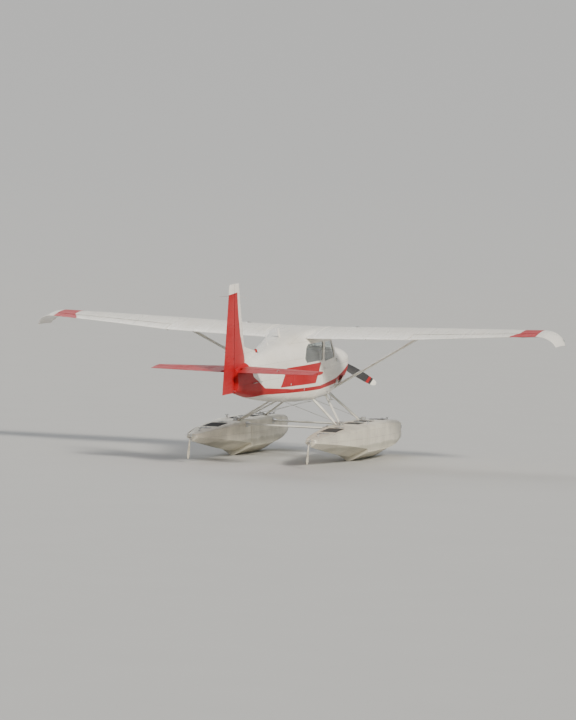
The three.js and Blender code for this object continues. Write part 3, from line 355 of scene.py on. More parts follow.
def bent(points, radius, sides=12, per_span=6):
    """A round bar bent smoothly through points."""
    return tube(curve_through(points, per_span), radius, sides)


def lathe(profile, centre, axis, sides=32):
    """A turned form. profile is (distance along the axis, radius), and a radius of 0 closes it."""
    centre, along = Vector(centre), Vector(axis).normalized()
    first, second = across(along)
    points, rows = [], []
    for place, radius in profile:
        middle = centre + along * place
        count = sides if radius > 1e-6 else 1
        rows.append([len(points) + i for i in range(count)])
        for i in range(count):
            a = 2 * math.pi * i / sides
            points.append(middle + (first * math.cos(a) + second * math.sin(a)) * radius)
    faces = []
    for low, high in zip(rows, rows[1:]):
        for i in range(sides):
            j = (i + 1) % sides
            face = [low[i % len(low)], low[j % len(low)], high[j % len(high)], high[i % len(high)]]
            face = list(dict.fromkeys(face))
            if len(face) > 2:
                faces.append(face)
    for row, turn in ((rows[0], -1), (rows[-1], 1)):
        if len(row) > 1:
            faces.append(row[::turn])
    return points, faces


def drum(centre, axis, radius, tall, sides=32):
    return lathe([(0, 0), (0, radius), (tall, radius), (tall, 0)], centre, axis, sides)


def disc(centre, axis, radius, thick, sides=24, round_by=0.15):
    """A coin with a softened rim, standing on centre."""
    soft = thick * round_by
    profile = [(0, 0), (0, radius), (thick - soft, radius), (thick, radius - soft), (thick, 0)]
    return lathe(profile, centre, axis, sides)


def stud(place, radius, thick, sides=32, round_by=0.4, sunk=0.001):
    """A coin let into a surface. place is a point and the way out there."""
    point, normal = place
    return disc(point - normal * sunk, normal, radius, thick, sides, round_by)


def bolt(centre, axis, size=0.012):
    """A washer and a six-sided head."""
    washer = disc(centre, axis, size, size * 0.2, 16)
    head = disc(Vector(centre) + Vector(axis).normalized() * size * 0.2, axis, size * 0.72, size * 0.55, 6)
    return Shape(washer, head)


def bead(path, normals, profile, closed=True):
    """A moulding along a path on a surface. profile is (sideways, outwards) in each section."""
    path = [Vector(p) for p in path]
    count = len(path)
    rings = []
    for k, (p, normal) in enumerate(zip(path, normals)):
        after = path[(k + 1) % count] if closed else path[min(k + 1, count - 1)]
        before = path[k - 1] if closed or k else path[0]
        side = (after - before).cross(normal).normalized()
        rings.append([p + side * u + Vector(normal) * v for u, v in profile])
    return loft(rings, capped=not closed, joined=closed)


def bead_on(pairs, profile, closed=True):
    """A moulding through pairs of a point and the way out of the surface there."""
    return bead(*zip(*pairs), profile, closed)


HALF_ROUND = [(math.cos(a), math.sin(a)) for a in np.linspace(0, math.pi, 7)]


def half_round(width, height, sunk=0.002):
    return [(u * width / 2, v * height) for u, v in HALF_ROUND] + [(-width / 2, -sunk), (width / 2, -sunk)]


def build(name, form, place=AIRFRAME, sharp=32):
    """A mesh object from points and faces, faces out, smooth except at sharp edges."""
    mesh = bpy.data.meshes.new(name)
    points, faces = form
    mesh.from_pydata([tuple(p) for p in points], [], [list(face) for face in faces])
    work = bmesh.new()
    work.from_mesh(mesh)
    bmesh.ops.remove_doubles(work, verts=work.verts[:], dist=1e-5)
    bmesh.ops.recalc_face_normals(work, faces=work.faces[:])
    work.to_mesh(mesh)
    work.free()
    mesh.transform(place)
    mesh.shade_smooth()
    mesh.set_sharp_from_angle(angle=math.radians(sharp))
    made = bpy.data.objects.new(name, mesh)
    bpy.context.scene.collection.objects.link(made)
    return made


def carve(form, *cuts):
    """A form after cutting. Each cut is (operation, form)."""
    body = build("carving", form, WORLD)
    cutters = []
    for operation, cutter in cuts:
        tool = build("cutter", cutter, WORLD)
        cutters.append(tool)
        step = body.modifiers.new("cut", "BOOLEAN")
        step.operation = operation
        step.solver = "EXACT"
        step.object = tool
    bpy.context.view_layer.update()
    shown = body.evaluated_get(bpy.context.evaluated_depsgraph_get())
    mesh = bpy.data.meshes.new_from_object(shown)
    result = [tuple(v.co) for v in mesh.vertices], [list(p.vertices) for p in mesh.polygons]
    for used in [body, *cutters]:
        data = used.data
        bpy.data.objects.remove(used)
        bpy.data.meshes.remove(data)
    bpy.data.meshes.remove(mesh)
    return result


def piece(name, form, finish, body="airframe", node=None, place=AIRFRAME, slot=None, sharp=32):
    """A visible piece: its mesh, its finish, what it rides on and the solid it stands for."""
    made = build(name, form, place, sharp)
    made.data.materials.append(finish)
    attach(made, body)
    slot or SLOT_OF[finish.name]
    if node:
        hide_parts(node)


# Finishes


class Graph:
    """A short way to write a node tree."""

    def __init__(self, tree):
        self.tree = tree

    def node(self, kind, **settings):
        made = self.tree.nodes.new("ShaderNode" + kind)
        for name, value in settings.items():
            setattr(made, name, value)
        return made

    def put(self, socket, value):
        if isinstance(value, bpy.types.NodeSocket):
            self.tree.links.new(value, socket)
        else:
            socket.default_value = value

    def math(self, operation, *values):
        made = self.node("Math", operation=operation)
        for socket, value in zip(made.inputs, values):
            self.put(socket, value)
        return made.outputs[0]

    def product(self, *values):
        total = values[0]
        for value in values[1:]:
            total = self.math("MULTIPLY", total, value)
        return total

    def rise(self, value, low, high, start=0.0, end=1.0):
        """start below low, end above high."""
        made = self.node("MapRange", interpolation_type="SMOOTHSTEP")
        names = ("Value", "From Min", "From Max", "To Min", "To Max")
        for name, number in zip(names, (value, low, high, start, end)):
            self.put(made.inputs[name], number)
        return made.outputs["Result"]

    def mixed(self, part, a, b, blend="MIX"):
        made = self.node("Mix", data_type="RGBA", blend_type=blend)
        for index, value in ((0, part), (6, a), (7, b)):
            self.put(made.inputs[index], value)
        return made.outputs[2]

    def dimmed(self, part, colour, tint):
        """The colour seen through a film of dirt."""
        return self.mixed(part, colour, tint, "MULTIPLY")

    def noise(self, vector, scale, detail):
        made = self.node("TexNoise")
        for name, value in (("Vector", vector), ("Scale", scale), ("Detail", detail)):
            self.put(made.inputs[name], value)
        return made.outputs["Fac"]

    def here(self):
        """The place in the shared frame."""
        return self.node("TexCoord").outputs["Object"]

    def stretched(self, vector, scale):
        made = self.node("VectorMath", operation="MULTIPLY")
        self.put(made.inputs[0], vector)
        made.inputs[1].default_value = scale
        return made.outputs[0]

    def parts(self, vector):
        made = self.node("SeparateXYZ")
        self.put(made.inputs[0], vector)
        return made.outputs

    def line(self, value, points, low, high, tall):
        """A height that follows straight lines through points as value goes from low to high."""
        part = self.math("DIVIDE", self.math("SUBTRACT", value, low), high - low)
        made = self.node("FloatCurve")
        curve = made.mapping.curves[0]
        places = sorted(((x - low) / (high - low), z / tall) for x, z in points)
        for k, (x, z) in enumerate(places):
            if k < 2:
                point = curve.points[k]
                point.location = (x, z)
            else:
                point = curve.points.new(x, z)
            point.handle_type = "VECTOR"
        made.mapping.update()
        self.put(made.inputs["Value"], part)
        return self.math("MULTIPLY", made.outputs[0], tall)

    def looks(self, **values):
        """Values for the sockets of the material's Principled shader."""
        shader = self.tree.nodes["Principled BSDF"]
        for name, value in values.items():
            self.put(shader.inputs[name.replace("_", " ")], value)

    def bump(self, height, distance, strength):
        made = self.node("Bump")
        for name, value in (("Height", height), ("Distance", distance), ("Strength", strength)):
            self.put(made.inputs[name], value)
        self.looks(Normal=made.outputs[0])

    def group(self, tree, **values):
        made = self.node("Group", node_tree=tree)
        for name, value in values.items():
            self.put(made.inputs[name.replace("_", " ")], value)
        return made.outputs


def node_group(name, fill, outputs, kind="Float", **numbers):
    """A shader node group. fill makes the outputs from a place on the surface and the numbers."""
    tree = bpy.data.node_groups.new(name, "ShaderNodeTree")
    tree.interface.new_socket("Vector", in_out="INPUT", socket_type="NodeSocketVector")
    for title, value in numbers.items():
        title = title.replace("_", " ")
        socket = tree.interface.new_socket(title, in_out="INPUT", socket_type="NodeSocketFloat")
        socket.default_value = value
    for title in outputs.split():
        tree.interface.new_socket(title, in_out="OUTPUT", socket_type="NodeSocket" + kind)
    graph = Graph(tree)
    start = tree.nodes.new("NodeGroupInput")
    end = tree.nodes.new("NodeGroupOutput")
    results = fill(graph, *[start.outputs[k] for k in range(len(numbers) + 1)])
    for title, value in zip(outputs.split(), results):
        graph.put(end.inputs[title], value)
    return tree


def place_in_airframe(g, vector):
    shift = g.node("VectorMath", operation="SUBTRACT")
    g.put(shift.inputs[0], vector)
    shift.inputs[1].default_value = AIRFRAME.translation
    turn = g.node("VectorRotate", rotation_type="Y_AXIS")
    g.put(turn.inputs["Vector"], shift.outputs[0])
    turn.inputs["Angle"].default_value = NOSE_UP
    return (turn.outputs[0],)


def near_multiple(g, value, pitch):
    """Distance to the nearest multiple of pitch."""
    part = g.math("FRACT", g.math("ADD", g.math("DIVIDE", value, pitch), 0.5))
    return g.math("MULTIPLY", g.math("ABSOLUTE", g.math("SUBTRACT", part, 0.5)), pitch)


def riveted_seams(g, vector, along_pitch, across_pitch, rivet_pitch):
    """The height of seams and their rivet rows, and a mask of the seams."""
    top_from, row_off = 0.72, 0.012
    x, y, z = g.parts(vector)
    facing = g.parts(g.node("TexCoord").outputs["Normal"])[2]
    flat = g.math("GREATER_THAN", g.math("ABSOLUTE", facing), top_from)
    side = g.math("ADD", g.product(flat, y), g.product(g.math("SUBTRACT", 1, flat), z))
    seam, rivets = 0.0, 0.0
    for value, pitch, other in ((x, along_pitch, side), (side, across_pitch, x)):
        off = near_multiple(g, value, pitch)
        seam = g.math("MAXIMUM", seam, g.rise(off, 0.0008, 0.0024, 1, 0))
        row = g.math("ABSOLUTE", g.math("SUBTRACT", off, row_off))
        step = near_multiple(g, other, rivet_pitch)
        away = g.math("SQRT", g.math("ADD", g.product(row, row), g.product(step, step)))
        rivets = g.math("MAXIMUM", rivets, g.rise(away, 0.0012, 0.0034, 1, 0))
    return g.math("SUBTRACT", g.product(rivets, 0.5), seam), seam


def streaks(g, vector, scale, amount):
    coarse = g.noise(g.stretched(vector, (0.18, 1, 1)), scale, 2)
    both = g.math("ADD", g.product(coarse, 0.75), g.product(g.noise(vector, 38, 2), 0.25))
    return (g.product(g.rise(both, 0.46, 0.72), amount),)


def worn_edges(g, vector, amount):
    edge = g.rise(g.node("NewGeometry").outputs["Pointiness"], 0.54, 0.66)
    broken = g.rise(g.noise(vector, 60, 4), 0.4, 0.62)
    return (g.product(edge, broken, amount),)


def stripe_mask(g, value, low, high, soft=0.003):
    """1 between two edges that change over the surface."""
    above = g.rise(g.math("SUBTRACT", value, low), -soft, soft)
    below = g.rise(g.math("SUBTRACT", high, value), -soft, soft)
    return g.product(above, below)


def fuselage_stripes(g, vector):
    """The sweep from tail to nose and the panel behind the cabin, each between a lower and an upper edge."""
    x, _, z = g.parts(vector)
    sweep_low = (
        (-6.6, 0.30), (-5.2, 0.30), (-4.4, 0.335), (-3.0, 0.270), (-1.5, 0.225), (0, 0.270), (1.12, 0.400)
    )
    sweep_high = (
        (-6.6, 1.40), (-5.35, 1.40), (-5.0, 0.74), (-4.4, 0.47), (-3.0, 0.345), (-1.5, 0.300), (0, 0.385),
        (1.12, 0.600),
    )
    panel_low = (
        (-6.6, 1.5), (-3.64, 1.5), (-3.63, 0.420), (-1.80, 0.375), (-1.46, 0.770), (-1.45, 1.5), (1.6, 1.5)
    )
    panel_high = (
        (-6.6, 0.10), (-3.64, 0.10), (-3.63, 0.430), (-3.34, 0.790), (-1.46, 0.775), (-1.45, 0.10),
        (1.6, 0.1),
    )
    masks = []
    for edges in ((sweep_low, sweep_high), (panel_low, panel_high)):
        masks.append(stripe_mask(g, z, *[g.line(x, points, -6.6, 1.6, 1.6) for points in edges]))
    return (g.math("MAXIMUM", *masks),)


def wing_stripes(g, vector):
    x, y, _ = g.parts(vector)
    edge = (
        (-2.4, 4.56), (-1.86, 4.56), (-1.55, 4.70), (-0.95, 4.70), (-0.78, 4.52), (-0.66, 4.05),
        (-0.60, 3.60),
    )
    inner = g.line(x, edge, -2.4, -0.5, 6.0)
    return (stripe_mask(g, g.math("ABSOLUTE", y), inner, WING.tip + 0.001, 0.004),)


def tail_stripes(g, vector):
    """Red behind a slanted line and under the fin's white cap."""
    x, _, z = g.parts(vector)
    slant = ((0, 5.00), (0.9, 5.00), (1.15, 5.14), (1.6, 5.44), (2.1, 5.58), (2.7, 5.68))
    front = g.math("MULTIPLY", g.line(z, slant, 0, 2.7, 7.0), -1)
    behind = g.rise(g.math("SUBTRACT", front, x), -0.004, 0.004)
    cap = g.math("SUBTRACT", 2.44, g.product(g.math("ADD", x, 5.5), -0.06))
    return (g.product(behind, g.rise(g.math("SUBTRACT", cap, z), -0.004, 0.004)),)


def blade_bands(g, vector):
    """Two painted bands near each end of the propeller."""
    _, y, z = g.parts(vector)
    up = g.math("SUBTRACT", z, THRUST_Z)
    out = g.math("SQRT", g.math("ADD", g.product(y, y), g.product(up, up)))
    return stripe_mask(g, out, 0.985, 1.10, 0.002), stripe_mask(g, out, 0.880, 0.935, 0.002)


GROUPS = SimpleNamespace(
    place=node_group("airframe place", place_in_airframe, "Vector", "Vector"),
    seams=node_group(
        "riveted seams", riveted_seams, "Height Seam", Along_Pitch=0.4, Across_Pitch=0.3, Rivet_Pitch=0.03
    ),
    streaks=node_group("grime streaks", streaks, "Mask", Scale=3.0, Amount=0.5),
    wear=node_group("worn edges", worn_edges, "Mask", Amount=0.5),
    fuselage=node_group("fuselage stripes", fuselage_stripes, "Red"),
    wing=node_group("wing stripes", wing_stripes, "Red"),
    tail=node_group("tail stripes", tail_stripes, "Red"),
    blade=node_group("propeller bands", blade_bands, "Tip Band"),
)

WHITE = (0.90, 0.875, 0.81, 1)
RED = (0.42, 0.006, 0.010, 1)
DIRT = (0.20, 0.17, 0.13, 1)
GRIME = (0.62, 0.56, 0.46, 1)
BARE = (0.62, 0.62, 0.60, 1)
COAT = 0.20


def toned(colour, by, lift=0.0):
    """A colour made darker or lighter."""
    return (*[min(1, by * c + lift) for c in colour[:3]], 1)


def material(name, **constants):
    """A material and its graph, with plain values on its Principled shader."""
    made = bpy.data.materials.new(name)
    made.use_nodes = True
    g = Graph(made.node_tree)
    g.looks(**constants)
    return made, g


def painted_skin(
    name, livery=None, lengthwise=0.42, crosswise=0.31, base=WHITE, grime=0.35, riveted=True, wear=0.08
):
    """Gloss enamel over riveted or seamless sheet, with an optional livery in red."""
    made, g = material(name, Coat_Roughness=0.08, IOR=1.33)
    vector = g.group(GROUPS.place, Vector=g.here())["Vector"]
    gloss, shine = COAT, 0.27
    dirt = g.group(GROUPS.streaks, Vector=vector, Amount=grime)["Mask"]
    worn = g.group(GROUPS.wear, Vector=vector, Amount=wear)["Mask"]
    tone = g.noise(vector, 1.7, 2)
    colour = g.mixed(g.rise(tone, 0.35, 0.7), base, toned(base, 0.94))
    if livery:
        faded = g.mixed(g.rise(tone, 0.3, 0.75), RED, (0.46, 0.011, 0.015, 1))
        red = g.group(livery, Vector=vector)["Red"]
        colour = g.mixed(red, colour, faded)
        gloss = g.rise(red, 0, 1, COAT, 0)
        shine = g.rise(red, 0, 1, shine, shine + 0.13)
    colour = g.dimmed(g.product(dirt, 0.9), colour, GRIME)
    waves = g.product(g.noise(vector, 3.2, 1), 2.2)
    if riveted:
        skin = g.group(GROUPS.seams, Vector=vector, Along_Pitch=lengthwise, Across_Pitch=crosswise)
        colour = g.dimmed(g.product(skin["Seam"], 0.62), colour, DIRT)
        waves = g.math("ADD", skin["Height"], waves)
    rough = g.math("ADD", g.product(dirt, 0.35), shine)
    colour = g.mixed(worn, colour, BARE)
    g.looks(Base_Color=colour, Roughness=rough, Metallic=g.product(worn, 0.6), Coat_Weight=gloss)
    g.bump(waves, 0.0011, 0.75)
    return made


def float_skin():
    """Unpainted float sheet, dulled by water, stained below the waterline."""
    made, g = material("float_alloy", IOR=1.5, Coat_Weight=0.05)
    vector = g.here()
    skin = g.group(GROUPS.seams, Vector=vector, Along_Pitch=0.36, Across_Pitch=0.24, Rivet_Pitch=0.026)
    dirt = g.group(GROUPS.streaks, Vector=vector, Scale=4.0, Amount=0.8)["Mask"]
    worn = g.group(GROUPS.wear, Vector=vector, Amount=0.7)["Mask"]
    _, _, z = g.parts(vector)
    cloud = g.noise(vector, 2.4, 4)
    colour = g.mixed(g.rise(cloud, 0.3, 0.7), (0.90, 0.85, 0.72, 1), (0.74, 0.70, 0.60, 1))
    lap = g.math("SUBTRACT", g.noise(g.stretched(vector, (1, 1, 0.3)), 1.9, 6), 0.5)
    edge = g.math("ADD", z, g.product(lap, 0.14))
    wet = g.product(g.rise(edge, 0.27, 0.37, 1, 0), 0.30)
    colour = g.mixed(wet, colour, (0.36, 0.34, 0.25, 1))
    line = g.product(g.rise(edge, 0.22, 0.32), g.rise(edge, 0.33, 0.38, 1, 0), 0.30)
    colour = g.mixed(line, colour, (0.12, 0.13, 0.08, 1))
    colour = g.mixed(g.product(dirt, 0.30), colour, (0.42, 0.39, 0.32, 1))
    colour = g.mixed(g.product(skin["Seam"], 0.6), colour, DIRT)
    colour = g.mixed(worn, colour, (0.72, 0.71, 0.69, 1))
    metal = g.rise(g.math("ADD", wet, dirt), 0, 0.9, 0.55, 0.25)
    g.looks(Base_Color=colour, Metallic=metal, Roughness=g.rise(cloud, 0.2, 0.8, 0.38, 0.58))
    waves = g.product(g.noise(vector, 4.5, 2), 2.0)
    g.bump(g.math("ADD", skin["Height"], waves), 0.0013, 0.8)
    return made


def brushed_metal(name, colour, roughness=0.34, metallic=1.0, grime=0.5, grain=220):
    made, g = material(name, IOR=1.6)
    vector = g.here()
    hairs = g.noise(g.stretched(vector, (0.12, 1, 1)), grain, 2)
    dirt = g.group(GROUPS.streaks, Vector=vector, Scale=9.0, Amount=grime)["Mask"]
    worn = g.group(GROUPS.wear, Vector=vector, Amount=0.6)["Mask"]
    shade = g.mixed(g.rise(hairs, 0.3, 0.7), colour, toned(colour, 0.72))
    shade = g.mixed(g.product(dirt, 0.45), shade, DIRT)
    shade = g.mixed(worn, shade, toned(colour, 1.35))
    rough = g.math("ADD", g.product(hairs, 0.16), roughness - 0.08)
    g.looks(Base_Color=shade, Metallic=g.rise(dirt, 0, 1, metallic, metallic * 0.4), Roughness=rough)
    g.bump(hairs, 0.0002, 0.5)
    return made


def moulded(name, colour, roughness=0.5, grain=900, depth=0.00025, wear=0.3):
    """Plastic, rubber or paint on small parts, with a fine pebble and rubbed edges."""
    made, g = material(name, IOR=1.48)
    vector = g.here()
    pebble = g.noise(vector, grain, 2)
    patch = g.noise(vector, 14, 3)
    worn = g.group(GROUPS.wear, Vector=vector, Amount=wear)["Mask"]
    shade = g.mixed(g.rise(patch, 0.3, 0.75), colour, toned(colour, 0.78))
    shade = g.mixed(worn, shade, toned(colour, 1.5, 0.02))
    g.looks(Base_Color=shade, Roughness=g.rise(patch, 0.2, 0.8, roughness - 0.06, roughness + 0.1))
    g.bump(pebble, depth, 0.7)
    return made


def woven(name, colour, thread=0.0032):
    """Upholstery cloth: a plain weave, with darker threads and a light nap."""
    made, g = material(name, Sheen_Weight=0.35, Sheen_Roughness=0.5)
    vector = g.here()
    x, y, z = g.parts(vector)
    turn = 2 * math.pi / thread
    level = g.math("ADD", x, z)
    weft = g.math("SINE", g.math("MULTIPLY", y, turn))
    warp = g.math("SINE", g.math("MULTIPLY", level, turn))
    weave = g.product(weft, warp)
    patch = g.noise(vector, 7, 4)
    shade = g.mixed(g.rise(weave, -0.5, 0.9), toned(colour, 0.6), colour)
    shade = g.mixed(g.product(g.rise(patch, 0.45, 0.8), 0.4), shade, DIRT)
    g.looks(Base_Color=shade, Roughness=g.rise(patch, 0.2, 0.8, 0.82, 0.95))
    g.bump(weave, 0.0006, 0.8)
    return made


def clear_pane(name, tint, roughness=0.02):
    """Acrylic sheet with faint haze and fine scratches."""
    made, g = material(name, Base_Color=tint, Metallic=0.0, Transmission_Weight=0.92, IOR=1.35)
    vector = g.here()
    haze = g.noise(vector, 3, 3)
    scratch = g.noise(g.stretched(vector, (1, 1, 0.05)), 260, 2)
    g.looks(Roughness=g.rise(haze, 0.3, 0.9, roughness, roughness + 0.06))
    g.bump(scratch, 0.00005, 0.25)
    return made


def propeller_paint():
    made, g = material("propeller_blade_paint", IOR=1.5)
    vector = g.group(GROUPS.place, Vector=g.here())["Vector"]
    bands = g.group(GROUPS.blade, Vector=vector)
    worn = g.group(GROUPS.wear, Vector=vector, Amount=0.9)["Mask"]
    nicks = g.noise(vector, 90, 4)
    ahead = g.parts(g.node("TexCoord").outputs["Normal"])[0]
    front = g.rise(ahead, -0.04, 0.04)
    colour = g.mixed(front, (0.035, 0.036, 0.040, 1), (0.50, 0.50, 0.51, 1))
    colour = g.mixed(bands["Tip"], colour, WHITE)
    colour = g.mixed(bands["Band"], colour, RED)
    colour = g.mixed(g.product(g.rise(nicks, 0.66, 0.72), 0.35), colour, BARE)
    colour = g.mixed(worn, colour, (0.75, 0.75, 0.75, 1))
    metal = g.math("MAXIMUM", worn, g.product(front, 0.5))
    g.looks(Base_Color=colour, Metallic=metal, Roughness=g.rise(nicks, 0.3, 0.7, 0.3, 0.46))
    g.bump(nicks, 0.0003, 0.4)
    return made


FINISH = SimpleNamespace(
    fuselage=painted_skin("fuselage_enamel", GROUPS.fuselage),
    wing=painted_skin("wing_enamel", GROUPS.wing, lengthwise=0.40, crosswise=0.33, grime=0.25),
    tail=painted_skin("tail_enamel", GROUPS.tail, lengthwise=0.38, crosswise=0.30),
    smooth=painted_skin("seamless_enamel", grime=0.25, riveted=False),
    trim_paint=painted_skin("trim_enamel", GROUPS.fuselage, grime=0.2, riveted=False, wear=0.0),
    strut=painted_skin("strut_enamel", base=(0.80, 0.79, 0.73, 1), grime=0.6, riveted=False),
    float_skin=float_skin(),
    alloy=brushed_metal("satin_alloy", (0.72, 0.72, 0.70, 1), 0.32),
    steel=brushed_metal("stainless_steel", (0.55, 0.54, 0.52, 1), 0.28, grime=0.3),
    exhaust=brushed_metal("burnt_steel", (0.24, 0.17, 0.13, 1), 0.5, 0.9, 0.9, 60),
    engine=brushed_metal("cast_engine_paint", (0.10, 0.10, 0.11, 1), 0.55, 0.5, 0.8, 90),
    cylinder=brushed_metal("cylinder_alloy", (0.36, 0.36, 0.35, 1), 0.48, 0.9, 0.6, 90),
    blade=propeller_paint(),
    rubber=moulded("black_rubber", (0.022, 0.022, 0.023, 1), 0.72, 500, 0.0004),
    grit=moulded("grit_walkway", (0.055, 0.055, 0.055, 1), 0.92, 340, 0.0012, 0.5),
    panel=moulded("panel_black", (0.030, 0.031, 0.034, 1), 0.6),
    trim=moulded("cabin_trim", (0.46, 0.42, 0.35, 1), 0.62, 700, 0.0004, 0.1),
    carpet=moulded("cabin_carpet", (0.10, 0.085, 0.075, 1), 0.96, 420, 0.0022, 0.0),
    red_part=moulded("red_plastic", (0.45, 0.015, 0.018, 1), 0.35),
    blue_part=moulded("blue_plastic", (0.02, 0.07, 0.34, 1), 0.35),
    grey_part=moulded("grey_plastic", (0.20, 0.20, 0.21, 1), 0.45),
    dial=moulded("dial_face", (0.010, 0.010, 0.011, 1), 0.4, 1200, 0.00005, 0.0),
    mark=moulded("dial_marks", (0.82, 0.80, 0.74, 1), 0.5, 900, 0.00005, 0.0),
    cloth=woven("seat_cloth", (0.27, 0.20, 0.15, 1)),
    side_cloth=woven("seat_side_cloth", (0.42, 0.36, 0.28, 1), 0.0026),
    webbing=woven("belt_webbing", (0.05, 0.052, 0.058, 1), 0.0020),
    glass=clear_pane("window_acrylic", (0.80, 0.86, 0.86, 1)),
    lens_red=clear_pane("red_lens", (0.60, 0.02, 0.02, 1), 0.08),
    lens_green=clear_pane("green_lens", (0.02, 0.42, 0.16, 1), 0.08),
    lens_clear=clear_pane("clear_lens", (0.92, 0.93, 0.92, 1), 0.05),
)
# Slot names for each finish's pieces, unless they name another; piece() looks them up but does not set them
SLOTS = {
    "white_paint": "fuselage wing tail smooth trim_paint",
    "strut_paint": "strut",
    "float_metal": "float_skin",
    "fitting_metal": "alloy steel",
    "engine_metal": "exhaust engine cylinder",
    "propeller_metal": "blade",
    "panel_plastic": "rubber grit panel trim carpet red_part blue_part grey_part dial mark",
    "seat_fabric": "cloth side_cloth webbing",
    "window_clear": "glass lens_red lens_green lens_clear",
}
SLOT_OF = {getattr(FINISH, name).name: slot for slot, names in SLOTS.items() for name in names.split()}


# Fuselage surfaces


def hull_ring(rows, x, depth=0.0, count=112):
    """A section of the fuselage or cowl, depth below its outer skin, from the bottom round to port."""
    row = row_at(rows, "x", x)
    angles = np.linspace(-math.pi / 2, 1.5 * math.pi, 900, endpoint=False)
    c, s = np.cos(angles), np.sin(angles)
    power = 2 / np.where(s > 0, row["high"], row["low"])
    tall = np.where(s > 0, row["top"] - row["middle"], row["middle"] - row["bottom"])
    y = (row["half"] - depth) * np.sign(c) * np.abs(c) ** power
    z = row["middle"] + (tall - depth) * np.sign(s) * np.abs(s) ** power
    return [(x, py, pz) for py, pz in even_points(np.stack([y, z], axis=1), count)]


def side_y(x, z, rows):
    """How far out the skin is at a height."""
    row = row_at(rows, "x", x)
    upper = z > row["middle"]
    power = row["high" if upper else "low"]
    tall = row["top"] - row["middle"] if upper else row["middle"] - row["bottom"]
    part = min(abs(z - row["middle"]) / tall, 0.9999)
    return row["half"] * (1 - part**power) ** (1 / power)


def top_z(x, y):
    """How high the fuselage is over a place in plan."""
    row = row_at(FUSELAGE, "x", x)
    part = min(abs(y) / row["half"], 0.9999)
    return row["middle"] + (row["top"] - row["middle"]) * (1 - part ** row["high"]) ** (1 / row["high"])


# How far to either side a slope is measured
PROBE = 0.004


def on_side(x, z, side=1, out=0.0, rows=FUSELAGE):
    """A point on the side of the fuselage or cowl, and the way out there."""
    along = (side_y(x + PROBE, z, rows) - side_y(x - PROBE, z, rows)) / (2 * PROBE)
    up = (side_y(x, z + PROBE, rows) - side_y(x, z - PROBE, rows)) / (2 * PROBE)
    normal = Vector((-along, 1, -up)).normalized()
    point = Vector((x, side_y(x, z, rows), z)) + normal * out
    if side < 0:
        point.y, normal.y = -point.y, -normal.y
    return point, normal


def on_top(x, y):
    """A point on top of the fuselage, and the way out there."""
    along = (top_z(x + PROBE, y) - top_z(x - PROBE, y)) / (2 * PROBE)
    wide = (top_z(x, y + PROBE) - top_z(x, y - PROBE)) / (2 * PROBE)
    return Vector((x, y, top_z(x, y))), Vector((-along, -wide, 1)).normalized()


def shell(places, thick=WALL, depth=0.0):
    """The fuselage's skin as a wall between two depths, open at both ends."""
    outer = [hull_ring(FUSELAGE, x, depth) for x in places]
    inner = [hull_ring(FUSELAGE, x, depth + thick) for x in places]
    return loft([*outer, *reversed(inner)], joined=True)


def core(places, depth):
    """The fuselage made solid, depth below its skin."""
    return loft([hull_ring(FUSELAGE, x, depth) for x in places])


def grown(outline, distance):
    """An outline moved outwards by a distance."""
    area = sum(p[0] * q[1] - q[0] * p[1] for p, q in zip(outline, outline[1:] + outline[:1]))
    turn = 1 if area > 0 else -1
    count = len(outline)
    result = []
    for i, (x, z) in enumerate(outline):
        (ax, az), (bx, bz) = outline[i - 1], outline[(i + 1) % count]
        before = Vector((z - az, ax - x)).normalized() * turn
        after = Vector((bz - z, x - bx)).normalized() * turn
        middle = (before + after).normalized()
        reach = distance / max(0.3, middle.dot(before))
        result.append((x + middle.x * reach, z + middle.y * reach))
    return tuple(result)


def rounded(outline, radius, steps=6):
    """An outline with its corners rounded."""
    result = []
    count = len(outline)
    for i in range(count):
        corner = Vector(outline[i])
        back = Vector(outline[i - 1]) - corner
        ahead = Vector(outline[(i + 1) % count]) - corner
        half = back.angle(ahead) / 2
        reach = min(radius / math.tan(half), 0.45 * back.length, 0.45 * ahead.length)
        a = corner + back.normalized() * reach
        b = corner + ahead.normalized() * reach
        for k in range(steps + 1):
            t = k / steps
            result.append(tuple(a * (1 - t) ** 2 + corner * 2 * t * (1 - t) + b * t * t))
    return tuple(result)


def rounded_box(x0, x1, z0, z1, radius, steps=6):
    return rounded(((x0, z0), (x1, z0), (x1, z1), (x0, z1)), radius, steps)


def finer(outline, gap=0.03, closed=True):
    """The outline with points no further apart than gap."""
    result = []
    last = len(outline) if closed else len(outline) - 1
    for i in range(last):
        a, b = Vector(outline[i]), Vector(outline[(i + 1) % len(outline)])
        count = max(int(math.ceil((b - a).length / gap)), 1)
        result += [tuple(a.lerp(b, k / count)) for k in range(count)]
    if not closed:
        result.append(tuple(outline[-1]))
    return result


def side_bead(outline, profile, side):
    """A moulding that follows a side-view outline on the fuselage."""
    return bead_on([on_side(x, z, side) for x, z in finer(outline)], profile)


# Further out than any part of the cabin
WIDE = 0.75
# The outlines with their corners rounded
ROUND = SimpleNamespace(
    door=rounded(DOOR, 0.045),
    door_window=rounded(DOOR_WINDOW, 0.055),
    rear_window=rounded(REAR_WINDOW, 0.060),
    baggage=rounded(BAGGAGE_DOOR, 0.035),
)
# Where the cabin sides meet the belly and the roof
SILL_Z = 0.1804
ROOF_Z = 1.262
CABIN_PLACES = spread(CABIN_REAR, -0.3404, 0.055)


def port(outline):
    """A side-view outline made solid on the port side."""
    return prism(outline, 0.05, WIDE)


# Wing and tail surfaces


